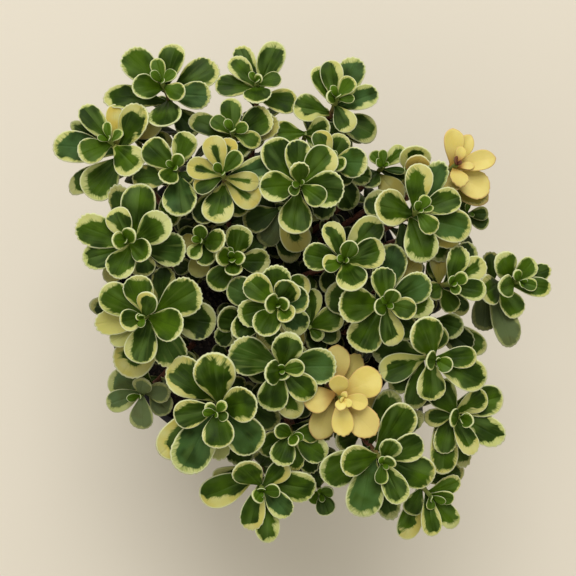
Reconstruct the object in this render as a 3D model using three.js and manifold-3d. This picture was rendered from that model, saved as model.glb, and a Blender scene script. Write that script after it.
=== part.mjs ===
// A two-row stonecrop with cream-edged leaves, in a round plastic nursery pot.
// Millimetres, +Z up. The origin is the centre of the pot's underside, which stands on the table.
// Pieces: the pot, its potting mix, and one solid for each leafy stem with its rosette of leaves.
import * as THREE from "three";
import { mergeVertices } from "three/addons/utils/BufferGeometryUtils.js";
import Module from "manifold-3d";

const wasm = await Module();
wasm.setup();

// Pot, a 13 cm nursery pot
const potHeight = 100;
const rimRadius = 65;
const underRimRadius = 61.5;
const baseRadius = 46;
const rimDepth = 11;
const rimShelf = 0.6; // how far the step under the rim slopes
const edgeRound = 0.8;
const baseEdge = 1.5;
const potWall = 1.6;
const potFloor = 2;
const potSides = 32;
const drainHoles = 6;
const drainRadius = 4.5;
const drainCircle = 33;
const drainSides = 10;

// Potting mix
const soilTop = 89;
const soilMound = 4;
const soilSides = 28;
const gap = 0.3;

// Stems
const stemRadius = 1.3;
const stemSides = 5;
const stemSteps = 5;
const stemSwing = 0.42; // how much of its length a stem takes to swing outwards
const rootDepth = 4;
const holeRadius = 2.5;
const holeSides = 5;
const crownSpread = 0.52; // a stem leaves the mix this share of its tip's distance from the plant's middle
const plantMiddle = [15, -3];
const crownMiddle = [3, -1];

// Leaves
const leafRatio = 1.55; // a leaf's length is this many times its width
const leafThickness = 1.3;
const neckShare = 0.13; // the leaf's neck against its widest place
const broadest = 0.68; // where along the leaf it is widest
const roundness = 2.5; // how bluntly its end is rounded
const cupping = 0.09;
const arch = 0.16;
const tipLift = 0.4;
const steepest = 62; // degrees that a young leaf may stand up
const flattest = 10;
const footInset = 0.7; // how far behind the stem's own middle a leaf's foot starts
const toothedFrom = 10; // leaves this wide show their round teeth
const smallUnder = 6;
const clearance = 0.35;
const sharedFoot = 0.3; // how many cubic millimetres of their feet two leaves of one stem may share

// The tips and leaves are listed as they look from straight above, from an eye over the table, on a
// level through the canopy. A thing at another height looks nearer to the eye's axis or farther from it.
const eye = [13, 6.5, 600];
const canopyLevel = 140;
const atHeight = (seen, z) =>
  [0, 1].map((i) => eye[i] + ((seen[i] - eye[i]) * (eye[2] - z)) / (eye[2] - canopyLevel));

// Each shoot: where its tip is seen, how high it stands, how far it leans outwards in degrees, and its
// leaves from the bud outwards, each with its direction in degrees from +X, its reach and its width.
const shoots = [
  { name: "shoot_01", seen: [-37, 88], top: 143, lean: 22, leaves: [
    [40, 7, 4.5], [105, 10, 5.5], [-31, 10, 7], [190, 11.5, 9.5], [69, 16.4, 10], [141, 19, 12],
    [-16, 20.3, 10.5], [17, 22, 11.5], [-88, 17.5, 12.5], [197, 24, 9.5], [-56, 25, 10]] },
  { name: "shoot_02", seen: [-58, 65], top: 139, lean: 28, leaves: [
    [97, 7.5, 3.5], [38, 6.5, 4], [207, 13, 10], [-45, 17.5, 12.5], [128, 17.5, 8.5], [81, 14.6, 6.5],
    [35, 19.5, 11], [184, 22.5, 12], [250, 24, 14], [155, 17, 6], [231, 25.5, 9]] },
  { name: "shoot_03", seen: [-32, 54], top: 151, lean: 10, leaves: [
    [66, 5.8, 5], [234, 7, 7.5], [68, 15.5, 9], [138, 15.5, 10.5], [-33, 9, 4.5], [-82, 18, 12.5],
    [194, 17.5, 9]] },
  { name: "shoot_04", seen: [-13, 52], top: 158, lean: 6, leaves: [
    [50, 11, 6], [102, 14.5, 7.5], [78, 14.5, 7], [167, 14.5, 8], [210, 13, 7], [-15, 15, 7],
    [9, 21.7, 9], [-41, 19, 10], [261, 20, 11.5]] },
  { name: "shoot_05", seen: [-9, 68.5], top: 148, lean: 14, leaves: [
    [22, 6.5, 4.5], [-23, 12, 6.5], [148, 10, 6], [94, 13.5, 8], [24, 17, 11], [162, 18, 8],
    [12, 19, 9]] },
  { name: "shoot_06", seen: [0.5, 88], top: 142, lean: 22, leaves: [
    [60, 3.5, 3.5], [11, 10, 6], [-86, 8.3, 10.3], [136, 14, 8], [183, 16.5, 8.5], [115, 16.4, 8],
    [62, 18.3, 10], [-29, 18.5, 10]] },
  { name: "shoot_07", seen: [32.5, 82], top: 144, lean: 20, leaves: [
    [50, 10, 6.5], [-3, 7, 3.5], [165, 4, 5], [101, 15.2, 8.5], [-69, 14.5, 8.5], [125, 15, 8],
    [5, 16.5, 8], [62, 18, 10.5], [196, 17.5, 9.5], [-43, 21.5, 11], [-54, 20, 9]] },
  { name: "shoot_08", seen: [30, 57], top: 149, lean: 10, leaves: [
    [-25, 6, 6], [105, 12, 6.5], [2, 14, 11], [59, 11.6, 8], [-48, 12, 7], [-65, 21, 10],
    [262, 24, 9]] },
  { name: "shoot_09", seen: [18, 48], top: 160, lean: 5, leaves: [
    [95, 8, 7], [225, 6, 4], [-38, 12, 8], [187, 16, 11], [47, 18.5, 11.5], [-10, 18, 13],
    [94, 17.5, 9.5], [126, 21.4, 12], [262, 20.5, 12]] },
  { name: "shoot_10", seen: [51, 55], top: 137, lean: 14, leaves: [
    [95, 6.5, 3.5], [138, 7, 5], [42, 9.5, 5], [-15, 9, 3], [-32, 11, 6], [205, 9, 6]] },
  { name: "shoot_11", seen: [62, 51], top: 138, lean: 18, leaves: [
    [66, 9, 9], [81, 12.3, 11.5]] },
  { name: "shoot_12", seen: [65, 37], top: 157, lean: 12, leaves: [
    [60, 7, 4.5], [15, 6, 2.5], [-52, 10.5, 7], [20, 17.5, 9.5], [89, 19, 10], [172, 18, 13],
    [-20, 22, 12], [-82, 20, 12.5], [69, 22, 9], [-35, 20.5, 10]] },
  { name: "yellow_shoot_1", seen: [80, 55.5], top: 143, lean: 30, yellow: true, leaves: [
    [74, 7.5, 4], [-6, 7, 3], [-78, 8.5, 7], [97, 14.5, 8], [11, 15.8, 7.5], [64, 13, 6.5],
    [-41, 17, 11], [265, 11, 9], [-49, 19, 10]] },
  { name: "shoot_13", seen: [84, 36], top: 124, lean: 30, leaves: [
    [0, 8.5, 5.5], [-28, 9.5, 6.5], [100, 7, 5]] },
  { name: "shoot_14", seen: [78, 8], top: 148, lean: 18, leaves: [
    [35, 7, 5], [-50, 4.5, 4], [76, 15.5, 8.5], [-13, 14, 8], [34, 16, 9], [62, 18, 9]] },
  { name: "shoot_15", seen: [73.5, 7], top: 137, lean: 16, leaves: [
    [117, 12, 5.5], [-60, 9.5, 6.5], [-38, 13, 6], [95, 16, 6]] },
  { name: "shoot_16", seen: [105, 9], top: 130, lean: 40, leaves: [
    [110, 4.5, 4], [-15, 7, 5], [183, 8, 8], [58, 10.5, 8], [125, 13, 10], [-9, 12.5, 7], [22, 13.5, 7],
    [189, 15, 9], [263, 14, 9], [134, 16.5, 8], [253, 26, 11.5], [222, 25.5, 10]] },
  { name: "shoot_17", seen: [52.5, 0], top: 159, lean: 6, leaves: [
    [62, 6.5, 6], [200, 5.5, 6], [-14, 11.5, 8], [99, 15, 9], [-81, 16.5, 9], [30, 19.5, 11],
    [180, 19.5, 13], [236, 22, 13], [-2, 18.5, 9], [82, 24, 12], [171, 25, 12]] },
  { name: "shoot_18", seen: [72, -22], top: 151, lean: 16, leaves: [
    [180, 4.5, 7], [-30, 6.5, 6], [112, 16.5, 13], [5, 16, 8], [260, 16.5, 11], [-24, 21.5, 12],
    [196, 22.5, 13]] },
  { name: "shoot_19", seen: [81.5, -45], top: 140, lean: 26, leaves: [
    [-20, 5, 5.5], [180, 4, 7], [44, 14, 9], [-71, 15.5, 8], [243, 16, 9], [23, 18, 9.5],
    [-27, 19.5, 11], [253, 23.5, 11], [-82, 20, 8], [178, 15.5, 6], [118, 18, 9]] },
  { name: "shoot_20", seen: [69.5, -76], top: 127, lean: 32, leaves: [
    [-88, 5.5, 3.5], [-6, 9.5, 5.5], [28, 13.5, 7], [-87, 16, 8], [-49, 16.5, 8], [218, 11.5, 8],
    [236, 20, 9], [38, 17, 8]] },
  { name: "shoot_21", seen: [71, -6], top: 133, lean: 18, leaves: [
    [-14, 12.5, 9.5], [205, 9, 7], [-38, 19, 10], [-31, 24, 9]] },
  { name: "shoot_22", seen: [51, -63], top: 152, lean: 20, leaves: [
    [20, 4.5, 5], [262, 8.5, 5], [64, 10.5, 8], [31, 18, 10.5], [-65, 17.5, 9.5], [178, 17.5, 11.5],
    [-17, 21, 12.5], [68, 25.5, 13], [246, 23.5, 13.5], [193, 25.5, 13], [-80, 23, 10],
    [156, 21, 10]] },
  { name: "yellow_shoot_2", seen: [34.5, -37.5], top: 155, lean: 8, yellow: true, leaves: [
    [255, 4.5, 4], [60, 3, 2.5], [-11, 10.5, 6], [100, 10, 7], [-87, 15, 8], [31, 18, 11.5],
    [-47, 19.5, 11], [187, 14.5, 9.5], [95, 21.5, 9.5], [68, 19, 8], [238, 19, 10], [-5, 17, 7]] },
  { name: "shoot_23", seen: [10.5, -26], top: 157, lean: 6, leaves: [
    [10, 9, 6.5], [195, 6, 9], [-75, 4, 5], [76, 14.5, 11], [-40, 16.5, 10], [253, 17, 11], [4, 22, 13],
    [160, 22, 14], [-75, 20, 10]] },
  { name: "shoot_24", seen: [9, -0.5], top: 161, lean: 2, leaves: [
    [20, 4, 5], [160, 5.5, 7], [-44, 8, 7], [58, 11.5, 9.5], [238, 13, 10], [138, 16.5, 10],
    [19, 13, 10], [195, 16.5, 10], [92, 16, 10.5], [-42, 15, 10], [42, 16, 9], [158, 21.5, 11],
    [261, 18, 11], [201, 21.5, 9], [-62, 19, 9]] },
  { name: "shoot_25", seen: [35.5, 17.5], top: 159, lean: 4, leaves: [
    [70, 8, 6.5], [193, 9, 6.5], [113, 16.5, 8], [-67, 12, 11], [16, 16.5, 11], [171, 16.5, 10],
    [50, 21.5, 10.5]] },
  { name: "shoot_26", seen: [-9, 18], top: 147, lean: 4, leaves: [
    [10, 4.5, 5], [110, 5, 3], [165, 6.5, 7], [-85, 6.5, 6.5], [74, 14, 10], [-4, 15, 9.5],
    [235, 14, 9.5], [35, 16, 8]] },
  { name: "shoot_27", seen: [-21.5, 25], top: 144, lean: 6, leaves: [
    [92, 6.5, 5.5], [-5, 4, 2.5], [237, 8, 6], [2, 10.5, 8.5], [-74, 10.5, 7.5], [178, 8, 6],
    [263, 14.5, 8]] },
  { name: "shoot_28", seen: [-51, 25], top: 153, lean: 16, leaves: [
    [60, 5, 6], [175, 5.5, 6.5], [-30, 11, 8.5], [111, 14, 9.5], [252, 15, 10.5], [28, 19, 12],
    [161, 21.5, 12], [203, 19, 10], [77, 23.5, 13], [-9, 24, 12.5], [102, 23, 9], [-65, 16, 9],
    [238, 17.5, 8]] },
  { name: "shoot_29", seen: [-44.5, -5], top: 155, lean: 14, leaves: [
    [178, 3, 2.5], [73, 9.5, 8], [194, 9.5, 8], [99, 17, 11], [-18, 17, 12], [147, 20, 12],
    [263, 18.5, 12], [27, 25.5, 14], [-54, 24, 12.5], [189, 19.5, 9.5], [219, 16.5, 8], [66, 22, 9],
    [-5, 29, 14], [250, 24.5, 15], [167, 22, 8]] },
  { name: "shoot_30", seen: [-15.5, -43], top: 156, lean: 14, leaves: [
    [50, 5.5, 4], [140, 5, 4], [-30, 5, 4], [-84, 14, 11.5], [183, 17, 10.5], [16, 16.5, 13],
    [-41, 22.5, 14], [94, 23, 15], [133, 27, 14], [239, 27.5, 15], [212, 26, 12], [-87, 19, 9],
    [-10, 25.5, 11], [-66, 21, 9]] },
  { name: "shoot_31", seen: [-45.5, -36], top: 125, lean: 24, leaves: [
    [78, 7, 7], [-89, 13.5, 9.5], [10, 11.5, 7], [190, 14.5, 7.5], [155, 13.5, 10], [-28, 13, 7]] },
  { name: "shoot_32", seen: [14.5, -52.5], top: 144, lean: 12, leaves: [
    [-60, 3.5, 4.5], [150, 7, 6], [11, 11.5, 7.5], [244, 12.5, 9.5], [-30, 16, 10], [-85, 14, 8]] },
  { name: "shoot_33", seen: [2.5, -74], top: 141, lean: 24, leaves: [
    [3, 7.5, 5.5], [235, 5, 5.5], [40, 13.5, 7.5], [128, 14, 11], [-41, 15, 9], [252, 16.5, 9],
    [2, 21.5, 12], [-82, 21, 9.5], [187, 24.5, 12], [165, 20, 8]] },
  { name: "shoot_34", seen: [26, -75], top: 124, lean: 24, leaves: [
    [20, 5, 5], [-70, 9, 7.5], [225, 5.5, 4.5], [100, 9, 6]] },
  { name: "shoot_35", seen: [10, 38], top: 141, lean: 4, leaves: [
    [205, 16, 10], [-62, 19, 11], [246, 16, 9], [-78, 22, 9]] },
  { name: "shoot_36", seen: [-4, -7], top: 141, lean: 4, leaves: [
    [168, 11.5, 10], [215, 14, 8]] },
  { name: "shoot_37", seen: [21.5, -9], top: 145, lean: 4, leaves: [
    [84, 15.5, 7], [20, 14, 9.5], [-42, 7, 5], [-20, 13, 7]] },
  { name: "shoot_38", seen: [20, 68], top: 137, lean: 14, leaves: [
    [182, 12, 8], [15, 9, 7], [-25, 9, 8]] },
  { name: "shoot_39", seen: [-48, 66], top: 133, lean: 18, leaves: [
    [-7, 15, 7.5], [36, 10, 7]] },
];

const deg = THREE.MathUtils.degToRad;
const greenLeaf = new THREE.MeshStandardMaterial({ color: 0x3f5f24, roughness: 0.5, metalness: 0 });
const yellowLeaf = new THREE.MeshStandardMaterial({ color: 0xdcc468, roughness: 0.5, metalness: 0 });
const blackPlastic = new THREE.MeshStandardMaterial({ color: 0x1c1a1b, roughness: 0.45, metalness: 0 });
const pottingMix = new THREE.MeshStandardMaterial({ color: 0x2c1f17, roughness: 0.95, metalness: 0 });

function closedSolid(places, triangles) {
  const mesh = { numProp: 3, vertProperties: new Float32Array(places), triVerts: new Uint32Array(triangles) };
  return new wasm.Manifold(new wasm.Mesh(mesh));
}

// A closed three.js geometry as a solid, with its shared corners merged.
function solidOf(geometry) {
  const bare = geometry.clone();
  bare.deleteAttribute("normal");
  bare.deleteAttribute("uv");
  const merged = mergeVertices(bare, 1e-4);
  const triangles = [];
  for (let i = 0; i < merged.index.count; i += 3) {
    const [a, b, c] = [0, 1, 2].map((k) => merged.index.getX(i + k));
    if (a !== b && b !== c && c !== a) triangles.push(a, b, c);
  }
  return closedSolid(Array.from(merged.attributes.position.array), triangles);
}

function meshOf(name, solid, material) {
  const made = solid.getMesh();
  const geometry = new THREE.BufferGeometry();
  geometry.setAttribute("position", new THREE.BufferAttribute(new Float32Array(made.vertProperties), 3));
  geometry.setIndex(new THREE.BufferAttribute(new Uint32Array(made.triVerts), 1));
  geometry.computeVertexNormals();
  const mesh = new THREE.Mesh(geometry, material);
  mesh.name = name;
  return mesh;
}

const lathe = (profile, sides) =>
  new THREE.LatheGeometry(profile.map(([r, z]) => new THREE.Vector2(r, z)), sides).rotateX(Math.PI / 2);

function upright(radius, low, high, sides, [x, y]) {
  const rod = new THREE.CylinderGeometry(radius, radius, high - low, sides).rotateX(Math.PI / 2);
  return rod.translate(x, y, (low + high) / 2);
}

function potSolid() {
  const shelf = potHeight - rimDepth;
  const innerRim = rimRadius - edgeRound - potWall;
  const profile = [
    [0, 0], [baseRadius - baseEdge, 0], [baseRadius, baseEdge],
    [underRimRadius, shelf], [rimRadius - edgeRound, shelf + rimShelf], [rimRadius, potHeight - edgeRound],
    [rimRadius - edgeRound, potHeight], [innerRim, potHeight], [innerRim - rimShelf, shelf + edgeRound],
    [underRimRadius - potWall, shelf], [baseRadius - potWall, potFloor], [0, potFloor],
  ];
  let pot = solidOf(lathe(profile, potSides));
  for (let i = 0; i < drainHoles; i++) {
    const turn = (i / drainHoles) * 2 * Math.PI;
    const place = [drainCircle * Math.cos(turn), drainCircle * Math.sin(turn)];
    pot = pot.subtract(solidOf(upright(drainRadius, -potFloor, 2 * potFloor, drainSides, place)));
  }
  return pot;
}

// The potting mix: how wide it is at a height, and how high it lies at a distance from its middle.
const soilEdge = (z) =>
  baseRadius - potWall + ((underRimRadius - baseRadius) * z) / (potHeight - rimDepth) - 2 * gap;
const soilAt = (r) => soilTop + soilMound * (1 - (r / soilEdge(soilTop)) ** 2);

function soilSolid(feet) {
  const floor = potFloor + gap;
  const edge = soilEdge(soilTop);
  const rings = [1, 0.7, 0.35, 0].map((share) => [share * edge, soilAt(share * edge)]);
  let soil = solidOf(lathe([[0, floor], [soilEdge(floor), floor], ...rings], soilSides));
  for (const foot of feet)
    soil = soil.subtract(solidOf(upright(holeRadius, soilTop - rootDepth - gap, potHeight, holeSides, foot)));
  return soil;
}

// A stem rises straight out of the mix, swings outwards and ends along the rosette's own axis.
function stemOf(shoot, nudge) {
  const tip = new THREE.Vector3(...atHeight(shoot.seen, shoot.top), shoot.top);
  const foot = [0, 1].map((i) => crownMiddle[i] + crownSpread * (shoot.seen[i] - plantMiddle[i]) + nudge[i]);
  const rise = new THREE.Vector3(foot[0], foot[1], soilAt(Math.hypot(...foot)) + holeRadius);
  const axis = new THREE.Vector3(tip.x - crownMiddle[0], tip.y - crownMiddle[1], 0).normalize();
  axis.multiplyScalar(Math.sin(deg(shoot.lean)));
  axis.z = Math.cos(deg(shoot.lean));
  const pull = stemSwing * tip.distanceTo(rise);
  const bend = [rise.clone().setZ(rise.z + pull), tip.clone().addScaledVector(axis, -pull)];
  const line = new THREE.CubicBezierCurve3(rise, ...bend, tip);
  const root = new THREE.Vector3(foot[0], foot[1], soilTop - rootDepth);
  const path = new THREE.CatmullRomCurve3([root, ...line.getPoints(stemSteps - 1)]);
  const solid = (radius) => {
    const turn = (2 * Math.PI) / stemSides;
    const corner = (_, i) => new THREE.Vector2(radius * Math.cos(i * turn), radius * Math.sin(i * turn));
    const section = new THREE.Shape(Array.from({ length: stemSides }, corner));
    const along = { steps: stemSteps, bevelEnabled: false, extrudePath: path };
    return solidOf(new THREE.ExtrudeGeometry(section, along));
  };
  // The point a given way down from the bud, on the middle line between the stem's rings.
  const rings = path.getSpacedPoints(stemSteps);
  const length = path.getLength();
  const at = (down) => {
    const share = stemSteps * (1 - down / length);
    const ring = Math.min(stemSteps - 1, Math.floor(share));
    return rings[ring].clone().lerp(rings[ring + 1], share - ring);
  };
  return { foot, axis, at, solid: solid(stemRadius), room: solid(stemRadius + gap) };
}

// The places tried for a stem's foot, outwards from where its tip would have it.
const nudges = [[0, 0]];
for (const reach of [2.5, 5, 7.5])
  for (let turn = 0; turn < 8; turn++)
    nudges.push([reach * Math.cos((turn * Math.PI) / 4), reach * Math.sin((turn * Math.PI) / 4)]);

// Stems are set one after another, each at the first foot where it stands clear of those before it.
function setStems() {
  const stems = new Map();
  const clearOf = (stem, other) =>
    Math.hypot(stem.foot[0] - other.foot[0], stem.foot[1] - other.foot[1]) > 2 * holeRadius + gap &&
    stem.room.intersect(other.solid).isEmpty();
  for (const shoot of shoots) {
    for (const nudge of nudges) {
      const stem = stemOf(shoot, nudge);
      if (![...stems.values()].every((other) => clearOf(stem, other))) continue;
      stems.set(shoot, stem);
      break;
    }
  }
  return stems;
}

// Half the leaf's breadth along it, as a share of half its width.
function breadth(u) {
  if (u <= broadest) return neckShare + ((1 - neckShare) * (1 - Math.cos((Math.PI * u) / broadest))) / 2;
  return Math.sqrt(1 - ((u - broadest) / (1 - broadest)) ** roundness);
}

// One side of the outline from foot to tip: [place along, share of breadth]. The round teeth are at the
// far end.
function sideOf(width) {
  if (width >= toothedFrom) return [[0.34, 1], [0.58, 1], [0.8, 1.03], [0.875, 0.86], [0.945, 1.12]];
  if (width >= smallUnder) return [[0.36, 1], [0.62, 1], [0.83, 1], [0.95, 1.05]];
  return [[0.5, 1], [0.86, 1]];
}

// A blade between its foot in the stem and its tip, broad at the far end and cupped towards the
// rosette's axis. Swell makes it larger all round.
function leafSolid(foot, tip, width, axis, swell = 0) {
  const along = tip.clone().sub(foot);
  const length = along.length();
  along.normalize();
  const across = axis.clone().cross(along).normalize();
  const up = along.clone().cross(across);
  const half = width / 2 + swell;
  const place = (u, side, lift) =>
    foot.clone()
      .addScaledVector(along, u * length + (u > broadest ? swell : 0) - (u === 0 ? footInset : 0))
      .addScaledVector(across, side)
      .addScaledVector(up, arch * length * u * (1 - u) + lift);
  const side = sideOf(width).map(([u, share]) => [u, half * breadth(u) * share]);
  const rim = [[0, 0], ...side.map(([u, s]) => [u, -s]), [1, 0], ...side.reverse()];
  const cup = (s) => cupping * width * ((2 * s) / width) ** 2;
  const points = rim.map(([u, s]) => place(u, s, u === 1 ? tipLift * cup(half) : cup(s)));
  const ribs = width >= smallUnder ? [0.4, 0.76] : [0.62];
  const thick = leafThickness / 2 + swell;
  ribs.forEach((u) => points.push(place(u, 0, thick)));
  ribs.forEach((u) => points.push(place(u, 0, -thick)));
  const above = rim.length;
  const under = rim.length + ribs.length;
  const nearest = (i) => (ribs.length > 1 && rim[i][0] > (ribs[0] + ribs[1]) / 2 ? 1 : 0);
  const triangles = [];
  for (let a = 0; a < rim.length; a++) {
    const b = (a + 1) % rim.length;
    triangles.push(a, b, above + nearest(a), b, a, under + nearest(a));
    if (nearest(a) !== nearest(b))
      triangles.push(b, above + nearest(b), above + nearest(a), under + nearest(b), b, under + nearest(a));
  }
  return closedSolid(points.flatMap((p) => p.toArray()), triangles);
}

// Where a leaf's tip stands: a leaf that looks shorter than its width asks for is the steeper one.
function tipOf(shoot, foot, [direction, reach, width], { share, turn, lift }) {
  const towards = deg(direction + turn);
  const seen = [
    shoot.seen[0] + reach * share * Math.cos(towards), shoot.seen[1] + reach * share * Math.sin(towards)];
  const flat = atHeight(seen, foot.z);
  const away = Math.hypot(flat[0] - foot.x, flat[1] - foot.y);
  const pitch = Math.acos(Math.min(Math.cos(deg(flattest)), away / (leafRatio * width)));
  const z = foot.z + away * Math.tan(Math.min(pitch, deg(steepest))) + lift;
  return new THREE.Vector3(...atHeight(seen, z), z);
}

// What a crossing leaf tries, in turn: to be lifted or lowered, then turned a little, then drawn in.
const tries = [];
for (const share of [1, 0.86, 0.72])
  for (const turn of [0, 7, -7, 14, -14])
    for (const lift of [0, 1.5, -1.5, 3, -3, 4.5, -4.5, 6, 7.5, 9])
      tries.push({ share, turn, lift });

const apart = (a, b) => [0, 1, 2].some((i) => a.min[i] > b.max[i] || b.min[i] > a.max[i]);

function clearLeaf(shoot, stem, down, leaf, others, own) {
  const foot = stem.at(down);
  for (const way of tries) {
    const tip = tipOf(shoot, foot, leaf, way);
    const width = leaf[2] * Math.sqrt(way.share);
    const roomy = leafSolid(foot, tip, width, stem.axis, clearance);
    const box = roomy.boundingBox();
    const crosses = (piece, most) =>
      !apart(box, piece.box) && roomy.intersect(piece.solid).volume() > most;
    if (others.some((piece) => crosses(piece, 0))) continue;
    if (own.some((piece) => crosses(piece, sharedFoot))) continue;
    return leafSolid(foot, tip, width, stem.axis);
  }
  return null;
}

// How far below the bud each leaf grows: close together at the tip, wider apart below.
const nodeDepth = (i) => 0.6 + i + 0.04 * i * i;

const stems = setStems();
const pot = potSolid();
const soil = soilSolid([...stems.values()].map((stem) => stem.foot));
const placed = [];
const put = (shoot, solid) => placed.push({ shoot, solid, box: solid.boundingBox() });
put(null, pot);
put(null, soil);
stems.forEach((stem, shoot) => put(shoot, stem.solid));

// The lowest shoots open their leaves first, and those above them fit their own over them.
const leavesOf = new Map();
for (const shoot of [...shoots].sort((a, b) => a.top - b.top)) {
  const stem = stems.get(shoot);
  const others = placed.filter((piece) => piece.shoot !== shoot);
  const own = [];
  shoot.leaves.forEach((leaf, i) => {
    const solid = clearLeaf(shoot, stem, nodeDepth(i), leaf, others, own);
    if (solid) own.push({ shoot, solid, box: solid.boundingBox() });
  });
  placed.push(...own);
  leavesOf.set(shoot, own.map((piece) => piece.solid));
}

const group = new THREE.Group();
group.add(meshOf("pot", pot, blackPlastic));
group.add(meshOf("soil", soil, pottingMix));
for (const shoot of shoots) {
  const whole = wasm.Manifold.union([stems.get(shoot).solid, ...leavesOf.get(shoot)]);
  group.add(meshOf(shoot.name, whole, shoot.yellow ? yellowLeaf : greenLeaf));
}

export default group;
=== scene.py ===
import math
import random
from functools import partial

import bmesh
import bpy
from mathutils import Matrix, Vector, noise
from mathutils.bvhtree import BVHTree


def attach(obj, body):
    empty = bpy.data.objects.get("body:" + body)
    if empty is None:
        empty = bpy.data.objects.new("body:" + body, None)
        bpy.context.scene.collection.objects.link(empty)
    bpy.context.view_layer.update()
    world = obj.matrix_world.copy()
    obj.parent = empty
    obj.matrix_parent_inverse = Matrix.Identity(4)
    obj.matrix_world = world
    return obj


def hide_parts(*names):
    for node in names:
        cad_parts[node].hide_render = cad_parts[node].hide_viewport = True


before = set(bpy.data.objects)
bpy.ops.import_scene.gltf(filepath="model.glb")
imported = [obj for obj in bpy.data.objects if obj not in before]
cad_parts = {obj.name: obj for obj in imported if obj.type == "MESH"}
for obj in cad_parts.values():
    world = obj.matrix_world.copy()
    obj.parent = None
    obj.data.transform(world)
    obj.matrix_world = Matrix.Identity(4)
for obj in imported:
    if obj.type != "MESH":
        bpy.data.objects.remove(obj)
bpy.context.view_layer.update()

# The plant is laid out in millimetres, the meshes are in metres.
mm = 0.001

# How a leaf is coloured: the cream margin's share of the half width, how lopsided the margin is,
# how golden the cream is, how shaded the leaf is, how strong its painted bluish sheen is, how pale its
# veins are.
coats = {
    "n": (0.14, 0, 0.3, 0, 0, 0),         # dark green with a thin margin
    "b": (0.14, 0, 0.2, 0, 0.6, 0),       # the same with a painted bluish sheen
    "v": (0.14, 0, 0.2, 0.1, 0.3, 1),     # pale veins
    "w": (0.23, 0, 0.35, 0, 0, 0.1),      # wide margin
    "c": (0.25, 0, 0.3, 0, 0.7, 0.1),     # wide margin and painted sheen
    "x": (0.5, 0, 0.5, 0, 0, 0),          # very wide margin
    "l": (0.26, 0.6, 0.5, 0, 0, 0),       # cream on the left half, seen from the foot
    "r": (0.26, -0.6, 0.5, 0, 0, 0),      # cream on the right half
    "h": (0.3, -0.75, 0.5, 0, 0, 0),      # cream on the right half and the tip
    "j": (0.32, 0.85, 0.7, 0, 0, 0),      # golden on the left half
    "s": (0.7, 0, 0.8, 0.1, 0, 0),        # golden with a narrow green streak
    "y": (1.6, 0, 0.85, 0, 0, 0),         # golden all over
    "k": (1.6, 0, 1, 0, 0, 0),            # young and golden with a flush of pink
    "t": (1.6, 0, 0.7, 0.06, 0, 0),       # golden, turning tan
    "o": (1.3, 0, 0.7, 0.3, 0, 0),        # golden in the shade of others
    "i": (1.6, 0, 0.2, 0.06, 0, 0),       # cream all over
    "d": (0.16, 0, 0.3, 0.4, 0.1, 0),     # green in the shade
    "e": (0.27, 0, 0.4, 0.32, 0.1, 0),    # wide margin in the shade
    "p": (0.02, 0, 0.2, 0.1, 0, 0),       # plain green
    "g": (0.14, 0, 0, 0.2, 1.7, 0.6),     # old and greyish
    "q": (0.26, 0.5, 0.1, 0.12, 1.4, 0),  # old, with cream on the left half
    "u": (0, 0, 0, 0, 0, 0),              # a green bud leaf
    "z": (1.6, 0, 1, 0, 0, 0),            # a golden bud leaf, flushed dark red
}
# How far a leaf is flushed with pink, by its coat or else by its shoot; from 1 to 2 it turns dark red.
flushes = {"k": 0.9, "t": 0.4, "z": 2, "yellow_shoot_1": 0.1}

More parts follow.
